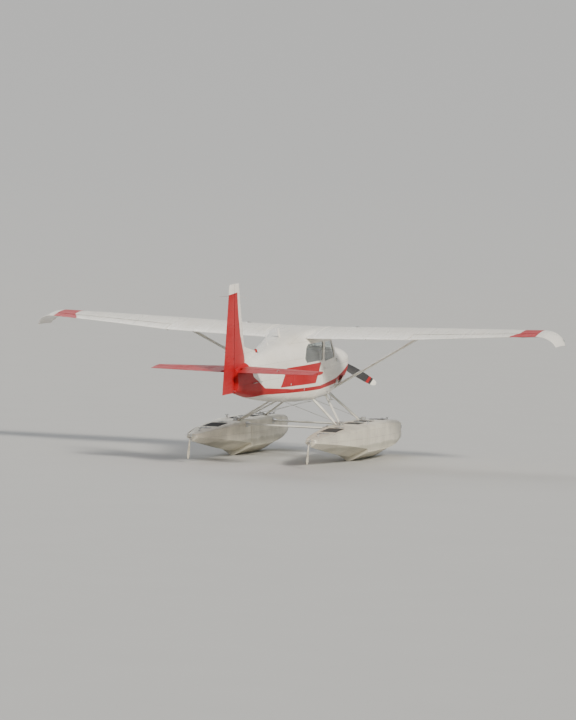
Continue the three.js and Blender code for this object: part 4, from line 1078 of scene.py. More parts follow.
def section_heights(chord, ratio, camber, c):
    """A four-digit wing section at c behind its nose: top, bottom, middle line and half thickness."""
    f = min(max(c / chord, 0), 1)
    shape = 0.2969 * math.sqrt(f) - 0.126 * f - 0.3516 * f**2 + 0.2843 * f**3 - 0.1036 * f**4
    half = max(5 * ratio * shape * chord, 0.002 if f > 0.5 else 0)
    crest = 0.4
    rise = 2 * crest * f - f * f
    bend = rise / crest**2 if f < crest else (1 - 2 * crest + rise) / (1 - crest) ** 2
    middle = camber * bend * chord
    return middle + half, middle - half, middle, half


def wing_station(y):
    taper = max(y - WING.taper_from, 0) / (WING.tip - WING.taper_from)
    return SimpleNamespace(
        chord=mix(WING.chord, WING.tip_chord, taper),
        x=WING.lead - 0.130 * taper,
        z=WING.base + max(y - WING.root, 0) * WING.rise,
        turn=math.radians(mix(1.5, -1.5, taper)),
    )


def wing_place(y, c, h):
    s = wing_station(y)
    cos, sin = math.cos(s.turn), math.sin(s.turn)
    return Vector((s.x - c * cos - h * sin, y, s.z - c * sin + h * cos))


def wing_heights(y, c):
    return section_heights(wing_station(y).chord, 0.12, 0.02, c)


AILERON = SimpleNamespace(start=2.556, end=5.068, part=0.77, hinges=(2.760, 3.820, 4.880))
FLAP = SimpleNamespace(start=0.556, end=2.538, c=0.73 * WING.chord, hinges=(0.720, 1.547, 2.374))
FLAP.h = wing_heights(FLAP.start, FLAP.c)[1] - 0.012


def aileron_hinge(y):
    """The straight hinge line, in the wing's own section at y."""
    ends = []
    for end in (AILERON.start, AILERON.end):
        c = AILERON.part * wing_station(end).chord
        ends.append(wing_place(end, c, wing_heights(end, c)[2]))
    point = ends[0].lerp(ends[1], (y - AILERON.start) / (AILERON.end - AILERON.start))
    s = wing_station(y)
    back, above = s.x - point.x, point.z - s.z
    c = back * math.cos(s.turn) - above * math.sin(s.turn)
    h = back * math.sin(s.turn) + above * math.cos(s.turn)
    return c, h, wing_heights(y, c)[3]


def surface(heights, place, hinge, chord):
    return SimpleNamespace(heights=heights, place=place, hinge=hinge, chord=chord)


def stab_lead(y):
    return mix(STAB.root_lead, STAB.tip_lead, abs(y) / STAB.half)


def stab_chord(y):
    return stab_lead(y) - mix(STAB.root_tail, STAB.tip_tail, abs(y) / STAB.half)


def stab_heights(y, c):
    return section_heights(stab_chord(y), 0.09, 0, c)


def fin_lead(z):
    return mix(FIN.base_lead, FIN.top_lead, (z - FIN.base) / (FIN.top - FIN.base))


def fin_chord(z):
    down = (FIN.top - z) / (FIN.top - RUDDER.bottom)
    return fin_lead(z) - mix(RUDDER.top_tail, RUDDER.bottom_tail, down)


def fin_heights(z, c):
    return section_heights(fin_chord(z), 0.077, 0, c)


def centred_hinge(heights, lead, hinge):
    def found(s):
        c = lead(s) - hinge
        return c, 0.0, heights(s, c)[3]

    return found


def wing_chord(y):
    return wing_station(y).chord


AILERON_SURFACE = surface(wing_heights, wing_place, aileron_hinge, wing_chord)
FLAP_SURFACE = surface(wing_heights, wing_place, lambda y: (FLAP.c, FLAP.h, 0.0), wing_chord)
STAB_SURFACE = surface(
    stab_heights, lambda y, c, h: Vector((stab_lead(y) - c, y, STAB.z + h)),
    centred_hinge(stab_heights, stab_lead, STAB.hinge), stab_chord,
)
FIN_SURFACE = surface(
    fin_heights, lambda z, c, h: Vector((fin_lead(z) - c, h, z)),
    centred_hinge(fin_heights, fin_lead, FIN.hinge), fin_chord,
)

# How many steps a nose and a hinge's round are drawn in
NOSE_STEPS = 26
ARC_STEPS = 8


def nose_points(s, at, upper_end, lower_end):
    """The skin from upper_end forward round the nose and back to lower_end."""
    parts = [(k / NOSE_STEPS) ** 2.2 for k in range(NOSE_STEPS, 0, -1)]
    over = [(upper_end * p, s.heights(at, upper_end * p)[0]) for p in parts]
    under = [(lower_end * p, s.heights(at, lower_end * p)[1]) for p in reversed(parts)]
    return [*over, (0, 0), *under]


def lip_angle(s, at, hinge, radius, which):
    angle = 1.0
    for _ in range(30):
        height = abs(s.heights(at, hinge[0] - radius * math.cos(angle))[which] - hinge[1])
        angle = math.asin(min(height / radius, 0.999))
    return angle


def arc_points(hinge, radius, start, end):
    turns = [mix(start, end, k / ARC_STEPS) for k in range(ARC_STEPS + 1)]
    return [(hinge[0] - radius * math.cos(a), hinge[1] + radius * math.sin(a)) for a in turns]


def cove_section(s, at):
    """The fixed part ahead of a hinge, hollowed round the moving part's nose."""
    hinge = s.hinge(at)
    radius = hinge[2] + RUN
    angles = [lip_angle(s, at, hinge, radius, which) for which in (0, 1)]
    cove = arc_points(hinge, radius, -angles[1], angles[0])
    return [*nose_points(s, at, cove[-1][0], cove[0][0])[1:-1], *cove]


# How far from the hinge to the trailing edge the skin's points lie
TAIL_PARTS = (0, 0.06, 0.12, 0.2, 0.35, 0.5, 0.65, 0.8, 0.88, 0.94, 1)


def beaded_tail(s, at, start, swell):
    """The skin behind start. swell raises the pressed beads of its sheet."""
    chord = s.chord(at)

    def skin(which, sign):
        points = []
        for part in TAIL_PARTS:
            c = mix(start, chord, part)
            fade = eased(part, 0.08, 0.2) * (1 - eased(part, 0.86, 0.95))
            points.append((c, s.heights(at, c)[which] + sign * swell * fade))
        return points

    return skin(1, -1), skin(0, 1)


def nosed_section(s, at, swell):
    """The moving part behind a hinge, with a round nose."""
    hinge = s.hinge(at)
    under, over = beaded_tail(s, at, hinge[0], swell)
    nose = arc_points(hinge, hinge[2], math.pi / 2, -math.pi / 2)
    return [*nose[:-1], *under, *reversed(over[1:])]


def flap_section(s, at, swell):
    under, over = beaded_tail(s, at, FLAP.c, swell)
    lip = [
        (FLAP.c - 0.004 * math.sin(a), mix(over[0][1], under[0][1], (1 - math.cos(a)) / 2))
        for a in np.linspace(0, math.pi, ARC_STEPS + 1)
    ]
    return [*lip[:-1], *under, *reversed(over[1:])]


def skinned(s, places, section):
    return loft([[s.place(at, c, h) for c, h in section(s, at)] for at in places])


# From one pressed bead of a control surface to the next
BEAD_PITCH = 0.066


def pressed(s, start, end, section, depth=0.0022):
    """A control surface with beads pressed across its chord."""
    rings = []
    for at in spread(start, end, BEAD_PITCH / 8):
        edge = eased(min(at - start, end - at), 0.01, 0.05)
        swell = depth * edge * (0.5 - 0.5 * math.cos(2 * math.pi * (at - start) / BEAD_PITCH))
        rings.append([s.place(at, c, h) for c, h in section(s, at, swell)])
    return loft(rings)


def rib(s, at, outline, half):
    """A flat plate across the span, from its outline along and up from the chord."""
    return loft([[s.place(at + side * half, *p) for p in outline] for side in (-1, 1)])


def hinge_slots(s, places):
    """What a moving surface loses round its hinge brackets."""
    slots = Shape()
    for at in places:
        c, h, r = s.hinge(at)
        front, back, tall = c - r - 0.012, c + 0.022, r + 0.020
        corners = ((front, h - tall), (back, h - tall), (back, h + tall), (front, h + tall))
        slots.add(rib(s, at, corners, 0.0065))
    return slots


def hinge_brackets(s, places):
    """Brackets on the fixed surface, each with its eye and bolt."""
    made = Shape()
    for at in places:
        c, h, r = s.hinge(at)
        root, high = c - r - 0.020, min(0.013, r * 0.6)
        eye = [(c + 0.013 * math.cos(a), h + 0.013 * math.sin(a)) for a in np.linspace(1.57, -1.57, 9)]
        made.add(rib(s, at, [(root, h + high), *eye, (root, h - high)], 0.004))
        made.add(tube([s.place(at + side * 0.013, c, h) for side in (-1, 1)], 0.0058, 16))
    return made


# Fuselage and cabin shell


def slab(x0, x1, z0, z1):
    """A block as wide as the whole cabin."""
    return cuboid(min(x0, x1), max(x0, x1), -WIDE, WIDE, z0, z1)


CUT, KEEP = "DIFFERENCE", "INTERSECT"
cabin_skin = shell(CABIN_PLACES)
windshield_cut = prism(grown(WINDSHIELD, HAIR), -WIDE, WIDE)

front_skin = carve(shell(spread(0, -0.340, 0.034)), (CUT, windshield_cut))
bulkhead = core((-0.002, -0.030), 0.020)
foot_plate = carve(
    core(spread(-0.028, -0.347, 0.05), 0.030), (KEEP, slab(-0.347, -0.028, FLOOR_Z - 0.020, FLOOR_Z))
)
piece("nose_section", Shape(front_skin, bulkhead, foot_plate), FINISH.fuselage, node="boot_cowl")

belly = carve(cabin_skin, (KEEP, slab(-3.02, -0.32, -0.05, SILL_Z)))
floor_plate = carve(
    core(CABIN_PLACES, WALL - 0.004), (KEEP, slab(-2.990, -0.350, FLOOR_Z - 0.020, FLOOR_Z))
)
piece("belly_skin", Shape(belly, floor_plate), FINISH.fuselage, node="belly_pan")


def wing_centre():
    """The wing's middle, faired into the cabin roof."""
    tail = [1.28, 1.36, 1.45, 1.54, wing_chord(WING.root)]
    under = [(c, wing_heights(WING.root, c)[1]) for c in tail]
    over = [(c, wing_heights(WING.root, c)[0]) for c in reversed(tail)]
    profile = [*nose_points(AILERON_SURFACE, WING.root, 1.2, 1.2), *under, *over]
    section = [wing_place(WING.root, c, h) for c, h in profile]
    half = WING.root - HAIR
    rings = [[(p.x, y, p.z) for p in section] for y in spread(-half, half, 0.07)]
    return carve(loft(rings), (KEEP, slab(-2.300, WING.lead - HAIR, ROOF_Z, 1.8)))


roof = carve(cabin_skin, (KEEP, slab(-3.02, WING.lead - HAIR, ROOF_Z + HAIR, 1.8)))
piece("roof_skin", roof, FINISH.fuselage, node="cabin_roof")
piece("wing_centre_section", wing_centre(), FINISH.wing)

side_cuts = [
    (KEEP, cuboid(-3.02, -0.32, 0.0002, WIDE, SILL_Z + HAIR, ROOF_Z)),
    (CUT, windshield_cut),
    (CUT, port(grown(ROUND.door, 0.005))),
    (CUT, port(ROUND.rear_window)),
]
starboard_panel = mirrored(carve(cabin_skin, *side_cuts))
port_panel = carve(cabin_skin, *side_cuts, (CUT, port(grown(ROUND.baggage, 0.005))))
for name, panel in (("left", port_panel), ("right", starboard_panel)):
    piece("cabin_side_" + name, panel, FINISH.fuselage, node="side_panel_" + name)

door_skin = carve(cabin_skin, (KEEP, port(ROUND.door)), (CUT, port(ROUND.door_window)))
panes = shell(CABIN_PLACES, 0.006, 0.010)
door_pane = carve(panes, (KEEP, port(grown(ROUND.door_window, -HAIR))))
rear_pane = carve(panes, (KEEP, port(grown(ROUND.rear_window, -HAIR))))
for name, side in SIDES:
    door = "door_" + name
    piece("cabin_door_" + name, sided(door_skin, side), FINISH.fuselage, door, node=door)
    pane = "door_window_" + name
    piece("door_pane_" + name, sided(door_pane, side), FINISH.glass, door, node=pane)
    rear = "window_rear_" + name
    piece("rear_pane_" + name, sided(rear_pane, side), FINISH.glass, node=rear)

baggage_skin = carve(cabin_skin, (KEEP, port(ROUND.baggage)))
piece("baggage_hatch", baggage_skin, FINISH.fuselage, "baggage_door", node="baggage_door")

screen = carve(shell(spread(-0.115, -0.600, 0.020), 0.008), (KEEP, prism(WINDSHIELD, -WIDE, WIDE)))
piece("windshield_pane", screen, FINISH.glass, node="windshield")


def tail_boom():
    places = spread(-3.0004, -5.745, 0.08)
    outer = [hull_ring(FUSELAGE, x) for x in places]
    end = [hull_ring(FUSELAGE, -5.745, depth) for depth in (0.012, 0.030)]
    for ring, x in zip(end, (-5.748, -5.7485)):
        for k, (_, y, z) in enumerate(ring):
            ring[k] = (x, y, z)
    inner = [hull_ring(FUSELAGE, x, 0.030) for x in reversed(places[:-3])]
    body = loft([*outer, *end, *inner], joined=True)
    plug = bar([(y, z) for _, y, z in hull_ring(FUSELAGE, -5.745, 0.029)], -5.748, -5.735)
    hole = tube([(STAB.hinge, -0.5, STAB.z), (STAB.hinge, 0.5, STAB.z)], 0.028, 32)
    return Shape(carve(body, (CUT, hole)), plug)


piece("tailcone_skin", tail_boom(), FINISH.fuselage, node="tailcone")


# Cowling


def cowl_shell():
    middle = Vector((0, 0.600))
    outer = [hull_ring(COWL, x) for x in spread(0.0004, 1.090, 0.045)]
    lip = hull_ring(COWL, 1.104)
    face = []
    for x, size, roundness in (
        (1.106, 0.992, 0), (1.1135, 0.972, 0), (1.1185, 0.940, 0), (1.121, 0.895, 0), (1.1225, 0.75, 0.05),
        (1.124, 0.55, 0.25), (1.126, 0.40, 0.75), (1.127, 0.34, 1.0), (1.122, 0.33, 1.03),
        (1.104, 0.33, 1.03),
    ):
        ring = []
        for _, y, z in lip:
            flat = (Vector((y, z)) - middle) * size
            part = min(roundness, 1)
            round_part = flat.normalized() * 0.102 * (2 - max(roundness, 1))
            point = flat.lerp(round_part, part)
            centre = mix(middle.y, THRUST_Z, part)
            ring.append((x, point.x, centre + point.y))
        face.append(ring)
    inner = [hull_ring(COWL, x, 0.020) for x in spread(1.090, 0.0004, 0.06)]
    return loft([*outer, lip, *face, *inner], joined=True)


def duct(x0, x1, y, z, wide, tall, corner):
    """A bar along x with a rounded rectangular section."""
    return bar(rounded_box(y - wide, y + wide, z - tall, z + tall, corner, 8), x0, x1)


INTAKE = SimpleNamespace(y=0.205, z=0.662, wide=0.072, tall=0.052, corner=0.048)
intakes = [
    (CUT, duct(1.05, 1.20, y, INTAKE.z, INTAKE.wide, INTAKE.tall, INTAKE.corner))
    for y in (-INTAKE.y, INTAKE.y)
]
outlet = (CUT, duct(-0.05, 0.190, 0, 0, 0.210, 0.140, 0.030))
cowling = carve(cowl_shell(), *intakes, outlet)
for name, low, high in (("upper", THRUST_Z + 0.0015, 1.2), ("lower", -0.1, THRUST_Z)):
    half = carve(cowling, (KEEP, slab(-0.1, 1.3, low, high)))
    piece("cowling_" + name, half, FINISH.fuselage, node="cowl_" + name)

# Propeller and spinner, drawn level and turned to where the engine stopped

PROP = SimpleNamespace(x=1.195, rest=math.radians(28))
SPIN = Matrix.Translation((0, 0, THRUST_Z)) @ Matrix.Rotation(PROP.rest, 4, "X")
BLADE_ROWS = table(
    "r chord thick pitch",
    (0.040, 0.084, 0.080, 55),
    (0.165, 0.096, 0.062, 50),
    (0.300, 0.148, 0.038, 42),
    (0.560, 0.178, 0.023, 31),
    (0.850, 0.160, 0.014, 23),
    (1.020, 0.122, 0.009, 19),
    (1.090, 0.056, 0.005, 17),
)


def blade_ring(r, shrink=1.0):
    row = row_at(BLADE_ROWS, "r", r)
    turn = math.radians(row["pitch"])
    flat = eased(r, 0.16, 0.34)
    ring = []
    for a in circle(36):
        along = math.cos(a)
        swell = math.sin(a) * mix(1, 1 + 0.45 * along, flat * 0.8)
        if swell < 0:
            swell *= mix(1, 0.35, flat)
        u, v = along * row["chord"] / 2 * shrink, swell * row["thick"] / 2 * shrink
        x = PROP.x + u * math.sin(turn) + v * math.cos(turn)
        ring.append((x, r, -u * math.cos(turn) + v * math.sin(turn)))
    return ring


def blades():
    rings = [blade_ring(r) for r in spread(0.040, 1.060, 0.022)]
    for r, shrink in ((1.072, 0.98), (1.080, 0.90), (1.086, 0.72), (1.0895, 0.40)):
        rings.append(blade_ring(r, shrink))
    made = Shape()
    for turn in (0, math.pi):
        made.add(loft(rings), Matrix.Rotation(turn, 4, "X"))
    hub = [(0, 0.060), (0, 0.075), (0.108, 0.075), (0.110, 0.070), (0.110, 0)]
    made.add(lathe([(0, 0), *hub], (1.135, 0, 0), AHEAD, 48))
    return made


def spinner_form():
    """A smooth cone with a recess round each blade root."""
    path = (
        (0.004, 0.170), (0.050, 0.169), (0.090, 0.163), (0.135, 0.151), (0.175, 0.133), (0.215, 0.106),
        (0.255, 0.071), (0.276, 0.043), (0.285, 0.020),
    )
    outer = [(p.x, p.y) for p in curve_through([(*p, 0) for p in path], 4)]
    skin = lathe([(0, 0), (0, 0.168), *outer, (0.287, 0)], (1.143, 0, 0), AHEAD, 64)
    holes = Shape()
    for end in (-1, 1):
        holes.add(tube([(PROP.x, end * 0.105, 0), (PROP.x, end * 0.3, 0)], 0.054, 40))
    return carve(skin, (CUT, holes))


piece("propeller_blades", blades(), FINISH.blade, "propeller", node="propeller", place=AIRFRAME @ SPIN)
piece("spinner_cone", spinner_form(), FINISH.smooth, "propeller", node="spinner", place=AIRFRAME @ SPIN)


# Wings


def inner_section(s, at):
    cut = FLAP.c - RUN
    return nose_points(s, at, cut, cut)


def flap_arm(y, points, near, thick):
    """Plates on either side of y, with a round eye on the flap's hinge line."""
    c, h, radius = FLAP.c, FLAP.h, 0.011
    first, last = points[1], points[0]
    start = math.atan2(first[1], first[0]) + math.pi / 2
    end = math.atan2(last[1], last[0]) - math.pi / 2 + 2 * math.pi
    sweep = (end - start) % (2 * math.pi)
    outline = [(c + u, h + v) for u, v in points]
    for k in range(11):
        a = start + sweep * k / 10
        outline.append((c + radius * math.cos(a), h + radius * math.sin(a)))
    made = Shape()
    for side in (-1, 1) if near else (1,):
        edges = (y + side * near, y + side * (near + thick)) if near else (y - thick / 2, y + thick / 2)
        made.add(loft([[wing_place(at, *p) for p in outline] for at in edges]))
    return made


def wing_form():
    inner = spread(WING.root + HAIR, WING.taper_from + 0.0005, 0.12)
    outer = spread(WING.taper_from + 0.0005, WING.tip, 0.10)
    return Shape(skinned(FLAP_SURFACE, inner, inner_section), skinned(AILERON_SURFACE, outer, cove_section))


def wing_brackets():
    made = Shape(hinge_brackets(AILERON_SURFACE, AILERON.hinges))
    for y in FLAP.hinges:
        made.add(flap_arm(y, ((-0.040, 0.026), (-0.120, 0.026)), 0, 0.008))
        made.add(tube([wing_place(y + side * 0.016, FLAP.c, FLAP.h) for side in (-1, 1)], 0.0058, 16))
    return made


# Sections of the drooped tip: chord, how far back and down its nose lies, thickness ratio
TIP_ROWS = table(
    "y chord back drop ratio",
    (5.0804, WING.tip_chord, 0, 0, 0.120),
    (5.200, 1.128, 0.010, 0.012, 0.115),
    (5.320, 1.060, 0.045, 0.058, 0.100),
    (5.410, 0.945, 0.105, 0.132, 0.080),
    (5.460, 0.800, 0.185, 0.222, 0.045),
)


def tip_ring(y, thin=1.0, shrink=1.0):
    row = row_at(TIP_ROWS, "y", y)
    chord = row["chord"]
    parts = [(k / 22) ** 2 for k in range(22, -1, -1)]

    def height(part, which):
        up, down, middle, _ = section_heights(chord, row["ratio"], 0.02, part * chord)
        return mix(middle, up if which else down, thin)

    outline = [(part * chord, height(part, 1)) for part in parts]
    outline += [(part * chord, height(part, 0)) for part in reversed(parts[:-1])]
    ring = []
    for c, h in outline:
        c = mix(chord * 0.5, c, shrink)
        p = wing_place(WING.tip, c + row["back"], h)
        ring.append((p.x, y, p.z - row["drop"] + (y - WING.tip) * WING.rise))
    return ring


def wing_tip():
    rings = [tip_ring(y) for y in spread(5.0804, 5.440, 0.020)]
    rings += [tip_ring(*end) for end in ((5.450, 0.9, 0.998), (5.457, 0.65, 0.99), (5.4598, 0.3, 0.98))]
    return loft(rings)


aileron_form = carve(
    pressed(AILERON_SURFACE, AILERON.start, AILERON.end, nosed_section),
    (CUT, hinge_slots(AILERON_SURFACE, AILERON.hinges)),
)
flap_form = Shape(pressed(FLAP_SURFACE, FLAP.start, FLAP.end, flap_section))
for hinge_y in FLAP.hinges:
    flap_form.add(flap_arm(hinge_y, ((0.095, 0.024), (0.022, 0.020)), 0.006, 0.009))


def teardrop(centre, ahead, side, chord, thick, sides=28):
    """A streamlined section, blunt ahead."""
    ring = []
    for a in circle(sides):
        forward = math.cos(a) * chord * (0.35 if math.cos(a) > 0 else 0.65)
        ring.append(centre + ahead * forward + side * (math.sin(a) * thick / 2))
    return ring


def faired_bar(a, b, chord, thick, ends=(0.6, 0.6)):
    """A streamlined strut whose chord narrows towards each end's fitting."""
    ease = 0.16
    a, b = Vector(a), Vector(b)
    length = (b - a).length
    along = (b - a) / length
    ahead = (AHEAD - along * AHEAD.dot(along)).normalized()
    side = along.cross(ahead)
    rings = []
    near = [ease * t for t in (0, 0.1, 0.2, 0.35, 0.5, 0.65, 0.8, 0.9, 1)]
    for at in (*near, *[length * k / 6 for k in range(1, 6)], *[length - at for at in reversed(near)]):
        narrow = mix(ends[0], 1, eased(at, 0, ease)) * mix(ends[1], 1, eased(length - at, 0, ease))
        rings.append(teardrop(a + along * at, ahead, side, chord * narrow, thick * mix(0.7, 1, narrow)))
    return loft(rings)


WING_STRUT = SimpleNamespace(
    low=(-0.120, 0.345, 0.090), high=(-1.000, 2.520, 1.352), chord=0.120, thick=0.052
)

for name, side in SIDES:
    wing = "wing_" + name
    piece("main_wing_" + name, sided(wing_form(), side), FINISH.wing, node=wing)
    piece("hinge_brackets_" + name, sided(wing_brackets(), side), FINISH.alloy)
    tip = "wingtip_" + name
    piece("drooped_tip_" + name, sided(wing_tip(), side), FINISH.smooth, node=tip)
    aileron, flap = "aileron_" + name, "flap_" + name
    piece("aileron_skin_" + name, sided(aileron_form, side), FINISH.wing, aileron, node=aileron)
    piece("flap_skin_" + name, sided(flap_form, side), FINISH.wing, flap, node=flap)
    strut = faired_bar(WING_STRUT.low, WING_STRUT.high, WING_STRUT.chord, WING_STRUT.thick)
    piece("lift_strut_" + name, sided(strut, side), FINISH.strut, node="wing_strut_" + name)

# Tail

ELEVATOR = SimpleNamespace(inner=0.150, inner_tail=0.195, tube=0.020, hinges=(-1.450, -0.620, 0.620, 1.450))
RUDDER.hinges = (1.150, 1.780, 2.420)
RUDDER.low_hinge = 0.640

stab_form = skinned(STAB_SURFACE, spread(-STAB.half, STAB.half, 0.11), cove_section)
piece("stabilizer_skin", stab_form, FINISH.tail, node="stabilizer")
brackets = Shape(
    hinge_brackets(STAB_SURFACE, ELEVATOR.hinges),
    hinge_brackets(FIN_SURFACE, (RUDDER.low_hinge, *RUDDER.hinges)),
)
piece("tail_hinge_brackets", brackets, FINISH.alloy)


def elevator_half():
    skin = pressed(STAB_SURFACE, ELEVATOR.inner, STAB.half - RUN, nosed_section, 0.0018)
    tail = STAB.root_tail
    corners = (
        (STAB.hinge - 0.020, 0.140),
        (STAB.hinge - 0.020, ELEVATOR.inner),
        (tail, ELEVATOR.inner_tail),
        (tail - 0.020, ELEVATOR.inner_tail),
        (tail - 0.020, 0.140),
    )
    notch = plate(corners, STAB.z - 0.1, STAB.z + 0.1)
    return carve(skin, (CUT, notch), (CUT, hinge_slots(STAB_SURFACE, (0.620, 1.450))))


half_elevator = elevator_half()
reach = ELEVATOR.inner + 0.030
joining_tube = tube([(STAB.hinge, -reach, STAB.z), (STAB.hinge, reach, STAB.z)], ELEVATOR.tube, 32)
TAB = SimpleNamespace(x=-5.805, inner=-0.700, outer=-1.280)
tab_gaps = [(-6.200, TAB.x, y - 0.0015, y + 0.0015) for y in (TAB.inner, TAB.outer)]
tab_gaps.append((TAB.x - 0.0035, TAB.x + 0.0002, TAB.outer - 0.0013, TAB.inner + 0.0013))
tabbed_elevator = mirrored(half_elevator)
for gap in tab_gaps:
    tabbed_elevator = carve(tabbed_elevator, (CUT, cuboid(*gap, STAB.z - 0.1, STAB.z + 0.1)))
tab_rod = tube([(TAB.x - 0.0018, y, STAB.z) for y in (TAB.outer, TAB.inner)], 0.007, 16)
elevator_form = Shape(half_elevator, tabbed_elevator, joining_tube, tab_rod)
piece("elevator_skin", elevator_form, FINISH.tail, "elevator", node="elevator")

rudder_form = carve(
    pressed(FIN_SURFACE, RUDDER.bottom, FIN.top, nosed_section, 0.0018),
    (CUT, hinge_slots(FIN_SURFACE, (RUDDER.low_hinge, *RUDDER.hinges))),
)
piece("rudder_skin", rudder_form, FINISH.tail, "rudder", node="rudder", slot="red_paint")


def fin_form():
    """The fin with its long dorsal fairing."""
    skin = skinned(FIN_SURFACE, spread(FIN.base, FIN.top, 0.08), cove_section)
    rings = []
    for k in range(25):
        part = k / 24
        x = mix(-4.060, -5.060, part)
        foot, crest = mix(1.080, 1.000, part), mix(1.165, 1.335, part**1.15)
        wide, thin = mix(0.012, 0.034, part), mix(0.002, 0.009, part)
        side = [
            (wide, foot), (mix(wide, thin, 0.45), mix(foot, crest, 0.5)), (thin, crest - 0.012),
            (thin * 0.6, crest - 0.003),
        ]
        rings.append([(x, y, z) for y, z in side] + [(x, -y, z) for y, z in reversed(side)])
    return Shape(skin, loft(rings))


piece("fin_skin", fin_form(), FINISH.tail, node="fin")

# Floats, in the shared frame


def float_ring(rows, s, shrink=1.0):
    """A section of the port float, s back from its bow."""
    row = row_at(rows, "s", s)
    keel, chine, deck, half = (row[key] for key in ("keel", "chine", "deck", "half"))
    bottom = [
        (mix(0.032, half, t), keel + (chine - keel) * t * (1.08 - 0.08 * t)) for t in np.linspace(0, 1, 9)
    ]
    rail = [(half + 0.010, chine - 0.002), (half + 0.010, chine + 0.004), (half, chine + 0.009)]
    flank = [(half - 0.001, mix(chine, deck, 0.10), 0), (half - 0.006, mix(chine, deck, 0.6), 0)]
    rounding = ((0.975, 0.062), (0.93, 0.040), (0.82, 0.018), (0.66, 0.009), (0.33, 0.004))
    crown = [(half * part, deck - drop, 0) for part, drop in rounding]
    gunwale = [(p.x, p.y) for p in curve_through([*flank, *crown], 4)]
    side = bottom + rail + gunwale
    middle = (chine + deck) / 2
    ring = [(y * shrink, mix(middle, z, shrink)) for y, z in side]
    ring += [(-y, z) for y, z in reversed(ring)]
    return [(FLOAT_BOW - s, FLOAT_Y + y, z) for y, z in ring]


def float_form():
    bow = ((0.022, 0.80), (0.024, 0.90), (0.030, 0.96), (0.040, 0.99))
    stern = ((6.050, 0.97), (6.056, 0.92), (6.060, 0.84))
    places = (*spread(0.055, 0.7, 0.03), *spread(0.76, STEP_S - 0.0005, 0.08))
    front = [float_ring(FLOAT_FRONT, *end) for end in bow] + [float_ring(FLOAT_FRONT, s) for s in places]
    places = spread(STEP_S + 0.0015, 6.040, 0.08)
    rear = [float_ring(FLOAT_REAR, s) for s in places] + [float_ring(FLOAT_REAR, *end) for end in stern]
    return Shape(loft(front), loft(rear))


STERN_X = FLOAT_BOW - 6.060
# The upright hinge pin of a water rudder, behind the stern
POST = SimpleNamespace(x=STERN_X - 0.046, low=0.438, high=0.548, pin=0.007, sleeve=0.017)


def stern_lugs():
    made = Shape()
    for low, high in ((POST.low - 0.012, POST.low), (POST.high, POST.high + 0.012)):
        made.add(block(POST.x, STERN_X + 0.03, FLOAT_Y - 0.018, FLOAT_Y + 0.018, low, high, 0.002))
        made.add(drum((POST.x, FLOAT_Y, low), UP, 0.018, high - low))
    pin = [(POST.x, FLOAT_Y, z) for z in (POST.low - 0.018, POST.high + 0.018)]
    made.add(tube(pin, POST.pin, 16))
    return made


# Where the float struts start on the fuselage, and stand on the port float
STRUT_TOPS = {"front": (-0.150, 0.300, 0.070), "rear": (-1.450, 0.350, 0.050)}
DECK = SimpleNamespace(y=1.090, front=FIREWALL_X - 0.150, rear=FIREWALL_X - 1.950, z=0.700)
SPREADERS = (("front", DECK.front), ("rear", DECK.rear))
SPREADER_Z = 0.660
FLOAT_STRUTS = (
    ("front", STRUT_TOPS["front"], DECK.front, 0.105, 0.046),
    ("rear", STRUT_TOPS["rear"], DECK.rear, 0.105, 0.046),
    ("diagonal", (-0.340, 0.300, 0.070), DECK.rear + 0.170, 0.076, 0.036),
)
float_shape = float_form()
for name, side in SIDES:
    node = "float_" + name
    hull = sided(float_shape, side)
    piece("float_hull_" + name, hull, FINISH.float_skin, node=node, place=WORLD)
    piece("stern_lugs_" + name, sided(stern_lugs(), side), FINISH.alloy, place=WORLD)
    for kind, top, foot_x, chord, thick in FLOAT_STRUTS:
        leg = faired_bar(AIRFRAME @ Vector(top), (foot_x, DECK.y, DECK.z), chord, thick, (0.8, 0.8))
        node = f"float_strut_{kind}_{name}"
        piece(f"leg_{kind}_{name}", sided(leg, side), FINISH.strut, node=node, place=WORLD)
for name, x in SPREADERS:
    spreader = faired_bar((x, -0.995, SPREADER_Z), (x, 0.995, SPREADER_Z), 0.092, 0.044, (0.85, 0.85))
    node = "spreader_bar_" + name
    piece("cross_bar_" + name, spreader, FINISH.strut, node=node, place=WORLD, slot="float_metal")


# Fuselage trims and fittings


def around(x, count):
    """Points round a section of the fuselage, and the way out at each."""
    ring = [Vector(p) for p in hull_ring(FUSELAGE, x, 0, count)]
    runs = [ring[(k + 1) % count] - ring[k - 1] for k in range(count)]
    return [(p, Vector((0, run.z, -run.y)).normalized()) for p, run in zip(ring, runs)]


def over_top(x, low_z, first_side=1):
    """Those of around that lie above a height, from one side to the other."""
    pairs = [pair for pair in around(x, 240) if pair[0].z >= low_z]
    return sorted(pairs, key=lambda pair: -pair[0].y * first_side)


def windshield_edge():
    """The frame round the windshield: both posts, the cowl top and the roof."""
    rail = finer(((-0.118, 0.985), (-0.320, 0.925), (-0.560, 1.262)), 0.025, False)
    loop = [on_side(x, z, 1) for x, z in rail]
    loop += over_top(WING.lead, 1.270)
    loop += [on_side(x, z, -1) for x, z in reversed(rail)]
    loop += over_top(-0.118, 0.992, -1)
    return bead_on(loop, half_round(0.034, 0.0035, 0.004))


seams = Shape(windshield_edge())
for x, width, height in ((-0.003, 0.040, 0.0022), (-3.001, 0.036, 0.0018)):
    seams.add(bead_on(around(x, 160), half_round(width, height)))
for side in (1, -1):
    seams.add(side_bead(grown(ROUND.rear_window, 0.006), half_round(0.024, 0.0035), side))
    edge = [wing_place(WING.root, c, h) for c, h in nose_points(AILERON_SURFACE, WING.root, 1.60, 1.18)]
    seams.add(tube([(p.x, side * 0.5485, p.z) for p in edge], 0.0065, 10))
piece("skin_trims", seams, FINISH.trim_paint)


